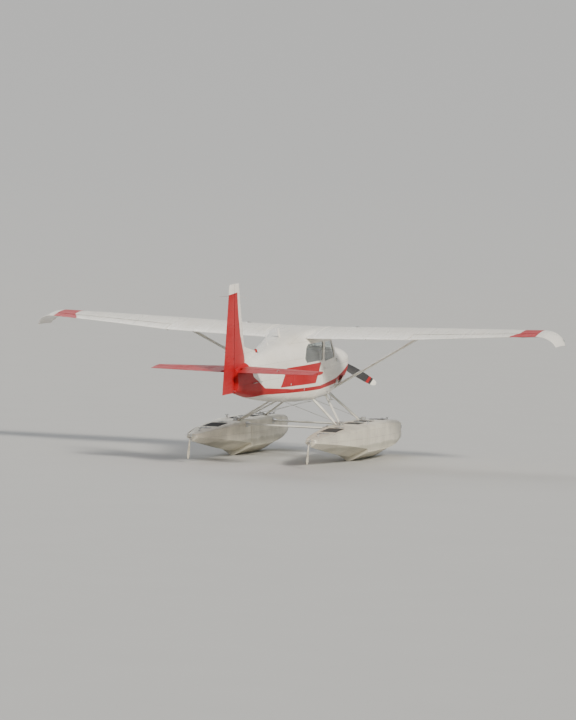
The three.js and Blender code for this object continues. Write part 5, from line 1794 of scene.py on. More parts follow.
def hinge_leaf(hinge, side, moving):
    """One half of each door hinge: ears and pin on the frame, or knuckle and arm on the door."""
    x, y = hinge.x, hinge.y
    made = Shape()
    for z in hinge.heights:
        if moving:
            low, high = z - 0.011, z + 0.011
            made.add(block(x - 0.046, x - 0.001, y - 0.004, y + 0.006, low, high, 0.0015))
            made.add(drum((x, y, low), UP, 0.009, 0.022, 24))
            for back in (0.022, 0.036):
                made.add(bolt((x - back, y + 0.006, z), PORT, 0.005))
        else:
            for low, high in ((z - 0.030, z - 0.012), (z + 0.012, z + 0.030)):
                made.add(block(x + 0.001, x + 0.036, y - 0.020, y + 0.007, low, high, 0.0015))
                made.add(drum((x, y, low), UP, 0.009, 0.018, 24))
                made.add(bolt((x + 0.024, y + 0.007, (low + high) / 2), PORT, 0.005))
            made.add(tube([(x, y, z - 0.032), (x, y, z + 0.032)], 0.0045, 12))
    return sided(made, side)


# Hinge pins, and the height of each knuckle
DOOR_HINGE = SimpleNamespace(x=-0.338, y=0.550, heights=(0.300, 0.740))
BAGGAGE_HINGE = SimpleNamespace(x=-2.553, y=0.492, heights=(0.420, 0.730))


def lever(x, z, side, length=0.105):
    """A pull handle on its oval plate, with a round lock beside it."""
    point, normal = on_side(x, z, side)
    made = Shape(stud((point, normal), 0.024, 0.006))
    end = point + Vector((length, 0, -0.1 * length)) + normal * 0.020
    elbow = point + normal * 0.021
    path = curve_through([point, elbow, elbow.lerp(end, 0.25), elbow.lerp(end, 0.7), end], 4)
    made.add(tube(path, tapered(path, 0.008, 0.005), 14))
    lock = on_side(x + 0.01, z - 0.075, side)
    made.add(stud(lock, 0.014, 0.005, 24))
    made.add(stud(lock, 0.005, 0.002, 12, 0.3, -0.004))
    return made


for name, side in SIDES:
    door = "door_" + name
    piece("door_hinge_ears_" + name, hinge_leaf(DOOR_HINGE, side, False), FINISH.alloy)
    metal = Shape(hinge_leaf(DOOR_HINGE, side, True), lever(-1.225, 0.640, side))
    piece("door_handle_" + name, metal, FINISH.alloy, door)
    trim = side_bead(grown(ROUND.door_window, 0.005), half_round(0.020, 0.0032), side)
    piece("door_window_trim_" + name, trim, FINISH.trim_paint, door)
    seal = [on_side(x, z, side, -0.012) for x, z in finer(grown(ROUND.door, 0.0045), 0.04)]
    strip = bead_on(seal, [(-0.0012, -0.006), (0.0012, -0.006), (0.0012, 0), (-0.0012, 0)])
    piece("door_seal_" + name, strip, FINISH.rubber)
piece("baggage_hinge_ears", hinge_leaf(BAGGAGE_HINGE, 1, False), FINISH.alloy)
metal = Shape(hinge_leaf(BAGGAGE_HINGE, 1, True), lever(-2.900, 0.590, 1, 0.070))
piece("baggage_latch", metal, FINISH.alloy, "baggage_door")


def blade_aerial(x, y, tall, long, lean):
    foot, normal = on_top(x, y)
    rings = []
    for k in range(9):
        part = k / 8
        centre = foot + normal * (tall * part - 0.004) + Vector((-lean * part, 0, 0))
        chord, thick = long * mix(1, 0.42, part**1.5), 0.011 * mix(1, 0.5, part)
        rings.append(teardrop(centre, AHEAD, PORT, chord, thick, 20))
    return loft(rings)


def whip_aerial(x, y, tall, lean):
    foot, normal = on_top(x, y)
    tip = foot + Vector((-lean, 0, tall))
    path = curve_through([foot, foot + normal * 0.03, foot.lerp(tip, 0.5) + normal * 0.02, tip], 5)
    made = Shape(tube(path, tapered(path, 0.0045, 0.0018), 10))
    made.add(lathe([(-0.004, 0.020), (0.006, 0.018), (0.022, 0.008), (0.030, 0)], foot, normal, 24))
    return made


aerials = Shape(blade_aerial(-2.620, 0, 0.190, 0.120, 0.075), whip_aerial(-3.400, 0.02, 0.420, 0.300))
for side in (1, -1):
    root = FIN_SURFACE.place(2.330, 0.10, side * 0.014)
    path = [root, root + Vector((-0.05, side * 0.06, 0.012)), root + Vector((-0.34, side * 0.26, 0.020))]
    aerials.add(bent(path, 0.0028, 10))
piece("aerials", aerials, FINISH.smooth)

beacon_foot, beacon_up = on_top(-4.250, 0)
base = [(-0.010, 0), (-0.010, 0.050), (0.012, 0.046), (0.018, 0.038), (0.018, 0)]
piece("beacon_base", lathe(base, beacon_foot, beacon_up), FINISH.alloy)
dome = [(0.017, 0), (0.017, 0.036), (0.045, 0.035), (0.066, 0.028), (0.078, 0.015), (0.082, 0)]
piece("beacon_lens", lathe(dome, beacon_foot, beacon_up), FINISH.lens_red)


def vent(x, z, side):
    """A small fresh-air scoop standing off the skin."""
    rings = []
    for k in range(10):
        part = k / 9
        point, normal = on_side(x - 0.16 * part, z, side)
        size = mix(1, 0.15, part**1.6)
        high, out = 0.030 * size, 0.026 * size
        root = point - normal * 0.004
        rings.append([root + UP * (math.cos(a) * high) + normal * (math.sin(a) * out) for a in circle(20)])
    return loft(rings)


body_fittings = Shape()
for side in (1, -1):
    body_fittings.add(vent(-0.150, 0.700, side))
    for x in (-4.700, -4.950):
        ends = [on_side(x + shift, 0.62, side) for shift in (-0.07, 0.07)]
        out = [p + n * 0.028 for p, n in ends]
        grip = [ends[0][0], out[0], out[0].lerp(out[1], 0.5), out[1], ends[1][0]]
        body_fittings.add(bent(grip, 0.007))
    for x, z in ((-0.075, 0.300), (-2.440, 0.300), (-3.120, 0.450)):
        body_fittings.add(stud(on_side(x, z, side), 0.022, 0.004))
    step, normal = on_side(-0.92, 0.130, side)
    low = step + Vector((0.02, side * 0.10, -0.16))
    body_fittings.add(bent([step, step + normal * 0.06, low], 0.011, 14))
    body_fittings.add(block_on(low + PORT * 0.0075, 0.075, 0.0375, -0.006, 0.004, 0.003))
piece("body_fittings", body_fittings, FINISH.alloy)

# Cowl details


def cowl_point(x, angle):
    """A place round the cowl, by its angle up from port, and the way out there."""
    row = row_at(COWL, "x", x)
    c, s = math.cos(angle), math.sin(angle)
    power = 2 / (row["high"] if s > 0 else row["low"])
    tall = row["top"] - row["middle"] if s > 0 else row["middle"] - row["bottom"]
    y = row["half"] * math.copysign(abs(c) ** power, c)
    z = row["middle"] + tall * math.copysign(abs(s) ** power, s)
    return Vector((x, y, z)), Vector((0.12, c * tall, s * row["half"])).normalized()


fasteners = Shape()
for x in spread(0.07, 1.03, 0.12):
    for side in (1, -1):
        for drop in (0.022, -0.022):
            fasteners.add(stud(on_side(x, THRUST_Z + drop, side, 0, COWL), 0.0085, 0.0035, 16, 0.5))
for angle in np.linspace(0.12, math.pi - 0.12, 13):
    fasteners.add(stud(cowl_point(0.025, angle), 0.0085, 0.0035, 16, 0.5))
piece("cowl_fasteners", fasteners, FINISH.steel)


# Sections of a louvre's hood and of the black slot under it that paints the shade of its opening: ahead,
# outwards
HOOD = (
    (0.018, 0), (0.010, 0.006), (0, 0.0115), (-0.010, 0.0140), (-0.010, 0.0115), (0, 0.0085),
    (0.010, 0.002),
)
SHADE_SLOT = ((-0.0115, -0.002), (-0.0115, 0.0008), (-0.0085, 0.0110), (0.004, 0.0075), (0.012, -0.002))


def louvre(x, z, side):
    """One pressed louvre, open towards the back, and the black slot under its lip, painted shade for its
    opening.
    """
    hood, slot = [], []
    for v in np.linspace(-0.078, 0.078, 15):
        swell = math.sqrt(max(1 - (v / 0.080) ** 4, 0.03))
        point, normal = on_side(x, z + v, side, 0, COWL)
        hood.append([point + AHEAD * a + normal * (n * swell - 0.001) for a, n in HOOD])
        slot.append([point + AHEAD * a + normal * (n * swell) for a, n in SHADE_SLOT])
    return loft(hood), loft(slot)


cowl_trims, slots = Shape(), Shape()
for side in (1, -1):
    for x in spread(0.10, 0.34, 0.040):
        hood, slot = louvre(x, 0.300, side)
        cowl_trims.add(hood)
        slots.add(slot)
# Black slots under the hoods: painted shade for the louvre openings, since the cowl skin is not cut there
piece("louvre_shade_slots", slots, FINISH.rubber)
hatch = [on_side(x, z, -1, 0, COWL) for x, z in finer(rounded_box(0.34, 0.52, 0.70, 0.84, 0.03), 0.02)]
cowl_trims.add(bead_on(hatch, half_round(0.006, 0.0028)))
piece("cowl_louvres", cowl_trims, FINISH.trim_paint, sharp=40)

rims = Shape()
for y in (-INTAKE.y, INTAKE.y):
    wide, tall = INTAKE.wide + 0.001, INTAKE.tall + 0.001
    outline = rounded_box(y - wide, y + wide, INTAKE.z - tall, INTAKE.z + tall, INTAKE.corner, 8)
    rims.add(bead_on([((1.1255, py, pz), AHEAD) for py, pz in outline], half_round(0.012, 0.004)))
scoop = rounded_box(-0.095, 0.095, 0.425, 0.490, 0.028, 8)
rims.add(bead_on([((1.123, y, z), AHEAD) for y, z in scoop], half_round(0.014, 0.006, 0.012)))
piece("intake_rims", rims, FINISH.alloy)
mesh_lines = Shape(bar(scoop, 1.112, 1.1265))
for y in spread(-0.085, 0.085, 0.012):
    mesh_lines.add(cuboid(1.126, 1.1285, y - 0.001, y + 0.001, 0.430, 0.485))
for z in spread(0.434, 0.482, 0.012):
    mesh_lines.add(cuboid(1.126, 1.1280, -0.090, 0.090, z - 0.001, z + 0.001))
piece("air_filter", mesh_lines, FINISH.grit)

# Float fittings, port side first


def float_row(s):
    return row_at(FLOAT_FRONT if s <= STEP_S else FLOAT_REAR, "s", s)


def deck_point(s, off=0.0, out=0.0):
    """A place on the port float's deck, s back from the bow and off its middle."""
    row = float_row(s)
    part = min(abs(off) / row["half"], 1)
    drop = mix(0.004, 0.009, eased(part, 0.33, 0.66)) + 0.010 * eased(part, 0.6, 0.85)
    return Vector((FLOAT_BOW - s, FLOAT_Y + off, row["deck"] - drop + out))


def flank_point(s, up, outward, level=False):
    """A place on its side, up from chine to deck, and the way out there. level bridges the step."""
    row = float_row(s)
    chine = row["chine"]
    start, stop = 2.6, 4.0
    if level and start < s < stop:
        chine = mix(float_row(start)["chine"], float_row(stop)["chine"], eased(s, start, stop))
    y = row["half"] - mix(0.001, 0.010, up)
    point = Vector((FLOAT_BOW - s, FLOAT_Y + outward * y, mix(chine, row["deck"], up)))
    return point, Vector((0, outward, 0.05)).normalized()


# A float's rub rail and stringer: height from chine to deck, width, thickness, and where they run
FLOAT_RAILS = ((0.80, 0.022, 0.007, 0.12, 5.95), (0.42, 0.014, 0.005, 0.45, 5.4))


def float_rails():
    """Rub rails, stringers and seam straps of one float."""
    made = Shape()
    for outward in (1, -1):
        for up, wide, high, start, stop in FLOAT_RAILS:
            pairs = [flank_point(s, up, outward, True) for s in spread(start, stop, 0.10)]
            made.add(bead_on(pairs, half_round(wide, high), False))
        for s in (0.62, 1.22, 1.80, 2.40, 3.00, 3.60, 4.25, 4.95):
            pairs = [flank_point(s, up, outward) for up in spread(0.08, 0.76, 0.06)]
            made.add(bead_on(pairs, half_round(0.030, 0.0020), False))
    for s in (1.22, 2.40, 3.00, 4.25, 4.95):
        half = float_row(s)["half"] * 0.86
        pairs = [(deck_point(s, off), UP) for off in spread(-half, half, 0.05)]
        made.add(bead_on(pairs, half_round(0.028, 0.0020), False))
    return made


def keel_shoe():
    """A steel moulding along either side of the keel."""
    made = Shape()
    for outward in (1, -1):
        y = FLOAT_Y + outward * 0.036
        path = [(FLOAT_BOW - s, y, float_row(s)["keel"] + 0.007) for s in spread(0.25, 3.28, 0.12)]
        made.add(bead(path, [(0, outward, 0)] * len(path), half_round(0.013, 0.004, 0.006), False))
    return made


def cleat(s, off):
    foot = deck_point(s, off)
    made = Shape(block_on(foot, 0.075, 0.018, -0.004, 0.005, 0.002))
    stem = [(0, 0), (0, 0.013), (0.035, 0.009), (0.035, 0)]
    for x in (-0.030, 0.030):
        made.add(lathe(stem, foot + Vector((x, 0, 0.003)), UP, 20))
        made.add(bolt(foot + Vector((x * 1.9, 0, 0.005)), UP, 0.006))
    horns = ((-0.105, 0.060), (-0.055, 0.046), (0, 0.040), (0.055, 0.046), (0.105, 0.060))
    path = curve_through([foot + Vector((x, 0, z)) for x, z in horns], 5)
    radii = [0.0095 - 0.0045 * (2 * k / (len(path) - 1) - 1) ** 2 for k in range(len(path))]
    return made.add(tube(path, radii, 14))


def deck_hatch(s):
    foot = deck_point(s)
    made = Shape(stud((foot, UP), 0.112, 0.008, 48, sunk=0.003))
    made.add(stud((foot, UP), 0.094, 0.007, 48, sunk=-0.004))
    for a in circle(8):
        made.add(bolt(foot + Vector((0.103 * math.cos(a), 0.103 * math.sin(a), 0.005)), UP, 0.006))
    grip = ((-0.035, 0.009), (-0.030, 0.024), (0.030, 0.024), (0.035, 0.009))
    return made.add(bent([foot + Vector((x, 0, z)) for x, z in grip], 0.0045, 10, 5))


def grit_patch(start, stop):
    rings = []
    offs = spread(-0.165, 0.165, 0.04)
    for s in spread(start, stop, 0.08):
        top = [deck_point(s, off, 0.0022) for off in offs]
        rings.append([*top, *[p - UP * 0.004 for p in reversed(top)]])
    return loft(rings)


def bow_bumper():
    """A ribbed rubber pad that wraps the bow."""
    side = [(s, float_row(s)["half"] - 0.004) for s in (0.200, 0.150, 0.110, 0.080)]
    half = [*side, (0.052, 0.138), (0.038, 0.105), (0.0305, 0.055), (0.029, 0)]
    plan = [*half, *[(s, -y) for s, y in reversed(half[:-1])]]
    path = curve_through([(FLOAT_BOW - s, FLOAT_Y + y, 0.560) for s, y in plan], 4)
    count = len(path)
    rings = []
    for k, p in enumerate(path):
        along = path[min(k + 1, count - 1)] - path[max(k - 1, 0)]
        out = Vector((-along.y, along.x, 0)).normalized()
        if out.x < 0:
            out = -out
        part = 1 - 0.85 * abs(2 * k / (count - 1) - 1) ** 8
        ring = []
        for v in np.linspace(-1, 1, 25):
            bulge = (1 - abs(v) ** 5) * (0.019 + 0.0065 * abs(math.cos(1.5 * math.pi * v)))
            ring.append(p + UP * (0.046 * v * mix(0.6, 1, part)) + out * (bulge * part + 0.001))
        rings.append([*ring, ring[-1] - out * 0.014, ring[0] - out * 0.014])
    return loft(rings)


def strut_feet():
    """Deck plates with two ears and a bolt at each leg's foot, and the spreader sockets."""
    made = Shape()
    for x in (DECK.front, DECK.rear, DECK.rear + 0.170):
        base = deck_point(FLOAT_BOW - x, DECK.y - FLOAT_Y)
        made.add(block_on(base, 0.085, 0.055, -0.010, 0.008, 0.003))
        for dx in (-0.065, 0.065):
            for dy in (-0.038, 0.038):
                made.add(bolt((x + dx, base.y + dy, base.z + 0.008), UP, 0.009))
        ear_top = base.z + 0.070
        ear = ((x - 0.050, base.z), (x + 0.050, base.z), (x + 0.030, ear_top), (x - 0.030, ear_top))
        pin = base + UP * 0.045
        made.add(tube([pin - PORT * 0.040, pin + PORT * 0.040], 0.008))
        for way in (-PORT, PORT):
            middle = base.y + way.y * 0.029
            made.add(prism(rounded(ear, 0.02), middle - 0.004, middle + 0.004))
            made.add(disc(pin + way * 0.040, way, 0.013, 0.007, 6))
    for _, x in SPREADERS:
        row = float_row(FLOAT_BOW - x)
        inner = FLOAT_Y - row["half"]
        made.add(block(x - 0.080, x + 0.080, inner - 0.006, inner + 0.012, 0.600, 0.715, 0.003))
        sleeve = [Vector((x - 0.005, y, SPREADER_Z)) for y in (inner - 0.075, inner)]
        made.add(loft([teardrop(p, AHEAD, UP, 0.108, 0.060) for p in sleeve]))
    return made


def cuff(at, towards, chord, thick, length=0.11):
    """A fitting that wraps the end of a strut."""
    at, towards = Vector(at), Vector(towards)
    along = (towards - at).normalized()
    ahead = (AHEAD - along * along.x).normalized()
    side = along.cross(ahead)
    rings = []
    for t, k in ((0, 1.0), (0.1, 1.1), (0.8, 1.04), (0.97, 0.98), (1, 0.92)):
        rings.append(teardrop(at + along * (length * t), ahead, side, chord * k, thick * k))
    made = Shape(loft(rings))
    for t in (0.35, 0.70):
        middle = at + along * (length * t)
        for sign in (-1, 1):
            made.add(bolt(middle + side * (sign * thick * 0.52), side * sign, 0.009))
    return made


strut_fittings, wing_fittings = Shape(strut_feet()), Shape()
for kind, top, foot_x, chord, thick in FLOAT_STRUTS:
    upper, foot = AIRFRAME @ Vector(top), Vector((foot_x, DECK.y, DECK.z))
    start = upper + (foot - upper).normalized() * 0.055
    strut_fittings.add(cuff(start, foot, chord * 0.86, thick, 0.10))
    strut_fittings.add(cuff(foot + (upper - foot).normalized() * 0.085, upper, chord * 0.84, thick, 0.07))
low, high = Vector(WING_STRUT.low), Vector(WING_STRUT.high)
along = (high - low).normalized()
wing_fittings.add(cuff(low + along * 0.200, high, 0.086, 0.045, 0.14))
wing_fittings.add(cuff(high - along * 0.110, low, 0.086, 0.045, 0.12))


def under_wing(y, c, out=0.0):
    """A place on the wing's lower skin, c behind its nose."""
    return wing_place(y, c, wing_heights(y, c)[1] - out)


def over_wing(y, c, out=0.0):
    return wing_place(y, c, wing_heights(y, c)[0] + out)


skin_up = Vector((0, -0.03, 1)).normalized()
for y in (1.20, 2.05, 3.05, 3.95, 4.70):
    wing_fittings.add(disc(under_wing(y, 0.62, -0.0015), -skin_up, 0.062, 0.0030, 40, 0.4))
cap = over_wing(1.150, 0.430, -0.003)
wing_fittings.add(disc(cap, skin_up, 0.058, 0.006, 48, 0.4))
wing_fittings.add(disc(cap + skin_up * 0.005, skin_up, 0.044, 0.007, 48, 0.4))
wing_fittings.add(block_on(cap, 0.036, 0.005, 0.011, 0.019, 0.002))
tie_point = under_wing(3.20, 0.50) - UP * 0.012
ring = [
    tie_point + (AHEAD * math.cos(a) + UP * math.sin(a)) * 0.020 for a in np.linspace(0, 2 * math.pi, 25)
]
wing_fittings.add(tube(ring, 0.0045, 10))
for c in (0.95, 1.04):
    wing_fittings.add(disc(under_wing(AILERON.hinges[0] + 0.3, c, -0.001), -skin_up, 0.035, 0.003, 32, 0.4))

pitot_root = under_wing(2.950, 0.300)
pitot = [
    pitot_root + Vector((x, 0, z)) for x, z in ((0, 0), (0.015, -0.075), (0.055, -0.110), (0.200, -0.112))
]
piece("pitot_tube", bent(pitot, 0.0085, 16), FINISH.steel)


def tip_light():
    """A teardrop lens on the tip's leading edge, with its base."""
    y = 5.405
    row = row_at(TIP_ROWS, "y", y)
    p = wing_place(WING.tip, 0.05 * row["chord"] + row["back"], 0)
    z = p.z - row["drop"] + (y - WING.tip) * WING.rise

    def turned(profile):
        return loft(
            [[(p.x + t, y + r * math.cos(a), z + r * math.sin(a)) for a in circle(24)] for t, r in profile]
        )

    return (
        turned(((0.062, 0.002), (0.056, 0.012), (0.040, 0.021), (0.015, 0.026), (-0.030, 0.026))),
        turned(((-0.028, 0.029), (-0.036, 0.030), (-0.095, 0.020), (-0.150, 0.004))),
    )


lens, lens_base = tip_light()
wing_fittings.add(lens_base)
rails, shoe, bumper = float_rails(), keel_shoe(), bow_bumper()
metal = Shape(*[deck_hatch(s) for s in (0.82, 1.58, 2.62, 4.05, 5.15)])
for s, off in ((0.45, 0), (2.90, 0.270), (5.55, 0)):
    metal.add(cleat(s, off))
for s in (1.05, 2.10, 3.10, 4.60):
    metal.add(stud((deck_point(s, -0.215), UP), 0.026, 0.006, sunk=0.003))
grit = Shape(*[grit_patch(a, b) for a, b in ((0.98, 1.42), (2.00, 2.46), (2.78, 3.24), (4.22, 4.88))])
for name, side in SIDES:
    for kind, form, finished, place in (
        ("float_rails", rails, FINISH.float_skin, WORLD),
        ("keel_shoe", shoe, FINISH.steel, WORLD),
        ("bow_bumper", bumper, FINISH.rubber, WORLD),
        ("deck_fittings", metal, FINISH.alloy, WORLD),
        ("deck_walkway", grit, FINISH.grit, WORLD),
        ("strut_fittings", strut_fittings, FINISH.alloy, WORLD),
        ("wing_fittings", wing_fittings, FINISH.alloy, AIRFRAME),
        ("tip_lens", lens, FINISH.lens_red if side > 0 else FINISH.lens_green, AIRFRAME),
    ):
        piece(f"{kind}_{name}", sided(form, side), finished, place=place)

wires = Shape()
ferrule = [(0, 0), (0.01, 0.008), (0.07, 0.008), (0.09, 0.004), (0.09, 0)]
for name, x in SPREADERS:
    top = AIRFRAME @ Vector(STRUT_TOPS[name])
    for side in (1, -1):
        a = Vector((x - 0.012 * side, side * (DECK.y - 0.03), 0.775))
        b = Vector((top.x - 0.012 * side, -side * (top.y + 0.01), top.z - 0.075))
        wires.add(tube([a, b], 0.0038, 10))
        for end, other in ((a, b), (b, a)):
            wires.add(lathe(ferrule, end, other - end, 12))
piece("brace_wires", wires, FINISH.steel, place=WORLD)

# Water rudders

BLADE_AXIS = Vector((POST.x - 0.078, FLOAT_Y, 0.470))
# In plan about the post, and in side view about the blade's own pin
TILLER = (
    (0.012, -0.010), (0.012, 0.010), (-0.044, 0.116), (-0.060, 0.108), (-0.016, 0), (-0.060, -0.108),
    (-0.044, -0.116),
)
WATER_BLADE = (
    (0.016, 0.006), (-0.012, 0.012), (-0.060, -0.070), (-0.150, -0.330), (-0.120, -0.395), (-0.040, -0.400),
    (0.004, -0.330), (0.014, -0.120),
)


def rudder_post():
    sleeve = [(0, 0.008), (0, POST.sleeve), (0.109, POST.sleeve), (0.109, 0.008)]
    made = Shape(lathe(sleeve, (POST.x, FLOAT_Y, POST.low + 0.0005), UP, 28))
    for side in (-1, 1):
        near = FLOAT_Y + side * 0.008
        back, front = BLADE_AXIS.x, POST.x - 0.014
        cheek = ((back - 0.016, 0.454), (front, 0.454), (front, 0.510), (back - 0.004, 0.500))
        made.add(prism(rounded(cheek, 0.012), *sorted((near, near + side * 0.006))))
        made.add(disc(BLADE_AXIS + PORT * (side * 0.014), PORT * side, 0.0115, 0.005, 6))
    made.add(tube([BLADE_AXIS + PORT * y for y in (-0.015, 0.015)], 0.006, 16))
    made.add(block(POST.x - 0.028, POST.x - 0.012, FLOAT_Y - 0.012, FLOAT_Y + 0.012, 0.454, 0.510, 0.003))
    tiller = rounded([(POST.x + x, FLOAT_Y + y) for x, y in TILLER], 0.006, 4)
    made.add(plate(tiller, 0.528, 0.536))
    for y in (-0.106, 0.106):
        made.add(bolt((POST.x - 0.047, FLOAT_Y + y, 0.536), UP, 0.007))
    return made


def rudder_blade():
    """A tapered plate with two pressed ribs and a bushed eye."""
    outline = finer(rounded([(BLADE_AXIS.x + x, BLADE_AXIS.z + z) for x, z in WATER_BLADE], 0.02, 5), 0.02)
    middle_x, middle_z = BLADE_AXIS.x - 0.055, BLADE_AXIS.z - 0.2
    rings = []
    for y, size in ((-0.0055, 0.93), (-0.0035, 0.985), (0, 1.0), (0.0035, 0.985), (0.0055, 0.93)):
        rings.append([(mix(middle_x, x, size), FLOAT_Y + y, mix(middle_z, z, size)) for x, z in outline])
    bush = [(-0.006, 0.0068), (-0.006, 0.016), (0.006, 0.016), (0.006, 0.0068)]
    made = Shape(loft(rings), lathe(bush, BLADE_AXIS, PORT, 28))
    for side in (-1, 1):
        for x0, x1, z0, z1 in ((-0.030, -0.085, -0.080, -0.360), (-0.005, -0.030, -0.110, -0.350)):
            rib_line = [(mix(x0, x1, t), side * 0.0052, mix(z0, z1, t)) for t in np.linspace(0, 1, 10)]
            pairs = [(BLADE_AXIS + Vector(p), PORT * side) for p in rib_line]
            made.add(bead_on(pairs, half_round(0.012, 0.0022), False))
    return made


for name, side in SIDES:
    for kind, form, finished in (
        ("post", rudder_post(), FINISH.alloy), ("blade", rudder_blade(), FINISH.float_skin)
    ):
        body = f"water_rudder_{kind}_{name}"
        piece(f"steering_{kind}_{name}", sided(form, side), finished, body, node=body, place=WORLD)

# Tail fittings

elevator_bits = Shape()
TAB_HORN = SimpleNamespace(x=-5.735, y=-0.90)
horn = STAB_SURFACE.place(TAB_HORN.y, stab_lead(TAB_HORN.y) - TAB_HORN.x, 0.022)
rod = [horn + Vector((x, 0, z)) for x, z in ((0.115, -0.006), (0.115, 0.028), (0, 0.034))]
elevator_bits.add(tube(rod, 0.004))
elevator_bits.add(block_on(horn - AHEAD * 0.003, 0.009, 0.003, -0.012, 0.042, 0.0012))
piece("trim_pushrod", elevator_bits, FINISH.alloy, "elevator")
tail_lamp = FIN_SURFACE.place(1.30, fin_chord(1.30) - 0.006, 0)
lamp_shape = lathe([(0, 0), (0, 0.016), (0.012, 0.016), (0.020, 0.012), (0.024, 0)], tail_lamp, -AHEAD, 24)
piece("tail_lamp", lamp_shape, FINISH.lens_clear, "rudder")
horn_plan = (
    (-5.79, -0.05), (-5.79, 0.05), (-5.87, 0.105), (-5.895, 0.095), (-5.86, 0), (-5.895, -0.095),
    (-5.87, -0.105),
)
piece("rudder_horn", plate(rounded(horn_plan, 0.008), 0.522, 0.527), FINISH.alloy, "rudder")

# Engine behind the intakes


def cylinder(x, side):
    """A finned barrel with its head, rocker cover and plugs."""
    foot, out = Vector((x, side * 0.105, 0.605)), Vector((0, side, 0))
    profile = [(0, 0), (0, 0.070)]
    for k in range(14):
        place = 0.010 + 0.0085 * k
        profile += [(place, 0.060), (place, 0.080), (place + 0.003, 0.080), (place + 0.003, 0.060)]
    made = Shape(lathe([*profile, (0.132, 0.060), (0.132, 0)], foot, out, 28))
    for k in range(9):
        y = side * (0.238 + 0.0085 * k)
        size = 0.090 - 0.0015 * k
        made.add(prism(rounded_box(x - size, x + size, 0.515, 0.695, 0.030), y - 0.0015, y + 0.0015))
    head = rounded_box(x - 0.070, x + 0.070, 0.535, 0.675, 0.020)
    made.add(prism(head, *sorted((side * 0.230, side * 0.312))))
    for z in (0.565, 0.645):
        ends = sorted((side * 0.300, side * 0.328))
        made.add(block(x - 0.032, x + 0.032, *ends, z - 0.030, z + 0.030, 0.008, 3))
    made.add(drum((x + 0.05, side * 0.270, 0.685), (0.2, 0, 1), 0.009, 0.035, 6))
    return made


crankcase = Shape(block(0.155, 0.915, -0.115, 0.115, 0.490, 0.725, 0.030, 3))
crankcase.add(block(0.150, 0.235, -0.200, 0.200, 0.480, 0.735, 0.030, 3))
crankcase.add(block(0.262, 0.858, -0.148, 0.148, 0.332, 0.482, 0.035, 3))
snout = [(0, 0), (0, 0.098), (0.050, 0.090), (0.120, 0.062), (0.2346, 0.060), (0.2346, 0)]
crankcase.add(lathe(snout, (0.900, 0, THRUST_Z), AHEAD, 40))
crankcase.add(tube([(0.870, -0.080, 0.560), (0.965, -0.080, 0.560)], 0.038, 24))
for x in spread(0.20, 0.86, 0.11):
    for side in (1, -1):
        crankcase.add(bolt((x, side * 0.105, 0.722), UP, 0.012))
for side in (1, -1):
    crankcase.add(tube([(0.158, side * 0.100, 0.700), (0.155, side * 0.100, 0.600)], 0.040, 20))
piece("crankcase", crankcase, FINISH.engine, node="engine", sharp=40)
cylinders, pipes, mounts = Shape(), Shape(), Shape()
for side in (1, -1):
    for x in (0.335, 0.535, 0.735):
        x += 0.025 * side
        cylinders.add(cylinder(x, side))
        exhaust = (
            (-0.04, 0.262, 0.535), (-0.04, 0.262, 0.485), (-0.09, 0.240, 0.430), (-0.16, 0.225, 0.415)
        )
        pipes.add(bent([(x + dx, side * y, z) for dx, y, z in exhaust], 0.019, 16, 5))
        intake = ((0.02, 0.262, 0.535), (0.02, 0.245, 0.470), (0.015, 0.180, 0.425), (0, 0.120, 0.410))
        mounts.add(bent([(x + dx, side * y, z) for dx, y, z in intake], 0.018, 14, 5))
    log = ((0.700, 0.226, 0.418), (0.450, 0.224, 0.410), (0.300, 0.190, 0.400), (0.235, 0.140, 0.330))
    pipes.add(bent([(x, side * y, z) for x, y, z in log], 0.024, 18))
    for z in (0.500, 0.710):
        mounts.add(tube([(0.001, side * 0.300, z), (0.180, side * 0.240, z)], 0.014, 14))
        mounts.add(disc((0.0005, side * 0.300, z), AHEAD, 0.034, 0.010, 24))
    mounts.add(tube([(0.004, side * 0.296, 0.500), (0.175, side * 0.240, 0.705)], 0.011, 12))
stack = curve_through(
    [(0.300, 0.110, 0.420), (0.240, 0.118, 0.300), (0.165, 0.126, 0.140), (0.116, 0.130, 0.036)], 8
)
pipes.add(bent([(0.235, -0.140, 0.330), (0.240, 0, 0.300), (0.225, 0.110, 0.270)], 0.024, 18))
pipes.add(tube(stack, 0.031, 28))
lip = [(0, 0.031), (0.004, 0.032), (0.004, 0.027), (-0.02, 0.027)]
pipes.add(lathe(lip, stack[-1], stack[-1] - stack[-2], 28))
piece("cylinders", cylinders, FINISH.cylinder)
piece("exhaust_pipes", pipes, FINISH.exhaust, sharp=50)
piece("engine_mount", mounts, FINISH.alloy, slot="engine_metal")

# Cabin lining

# How far the lining lies below the outer skin
LINED = 0.0345
lining = shell(spread(-2.970, -0.350, 0.07), 0.003, LINED)
under_floor = slab(-3.1, 0, -0.1, FLOOR_Z + 0.002)
openings = [(CUT, prism(grown(WINDSHIELD, 0.014), -WIDE, WIDE)), (CUT, under_floor)]
for side in (1, -1):
    for outline in (grown(ROUND.door, 0.020), grown(ROUND.rear_window, 0.012)):
        openings.append((CUT, sided(port(outline), side)))
openings.append((CUT, port(grown(ROUND.baggage, 0.020))))
piece("cabin_lining", carve(lining, *openings), FINISH.trim)
foot_walls = Shape(carve(shell(spread(-0.3495, -0.0315, 0.05), 0.003, LINED), *openings))
foot_walls.add(core((-0.0345, -0.0315), 0.038))
foot_lining = carve(foot_walls, (KEEP, slab(-0.350, 0, FLOOR_Z + 0.002, 0.885)))
piece("footwell_lining", foot_lining, FINISH.trim)
door_cuts = (KEEP, port(grown(ROUND.door, -0.014))), (CUT, port(grown(ROUND.door_window, 0.012)))
door_lining = carve(lining, *door_cuts)
baggage_lining = carve(lining, (KEEP, port(grown(ROUND.baggage, -0.014))))
piece("baggage_lining", baggage_lining, FINISH.trim, "baggage_door")
piece("rear_wall", carve(core((-2.976, -2.968), 0.036), (CUT, under_floor)), FINISH.trim)
rug_space = slab(-2.966, -0.036, FLOOR_Z + 0.0005, FLOOR_Z + 0.010)
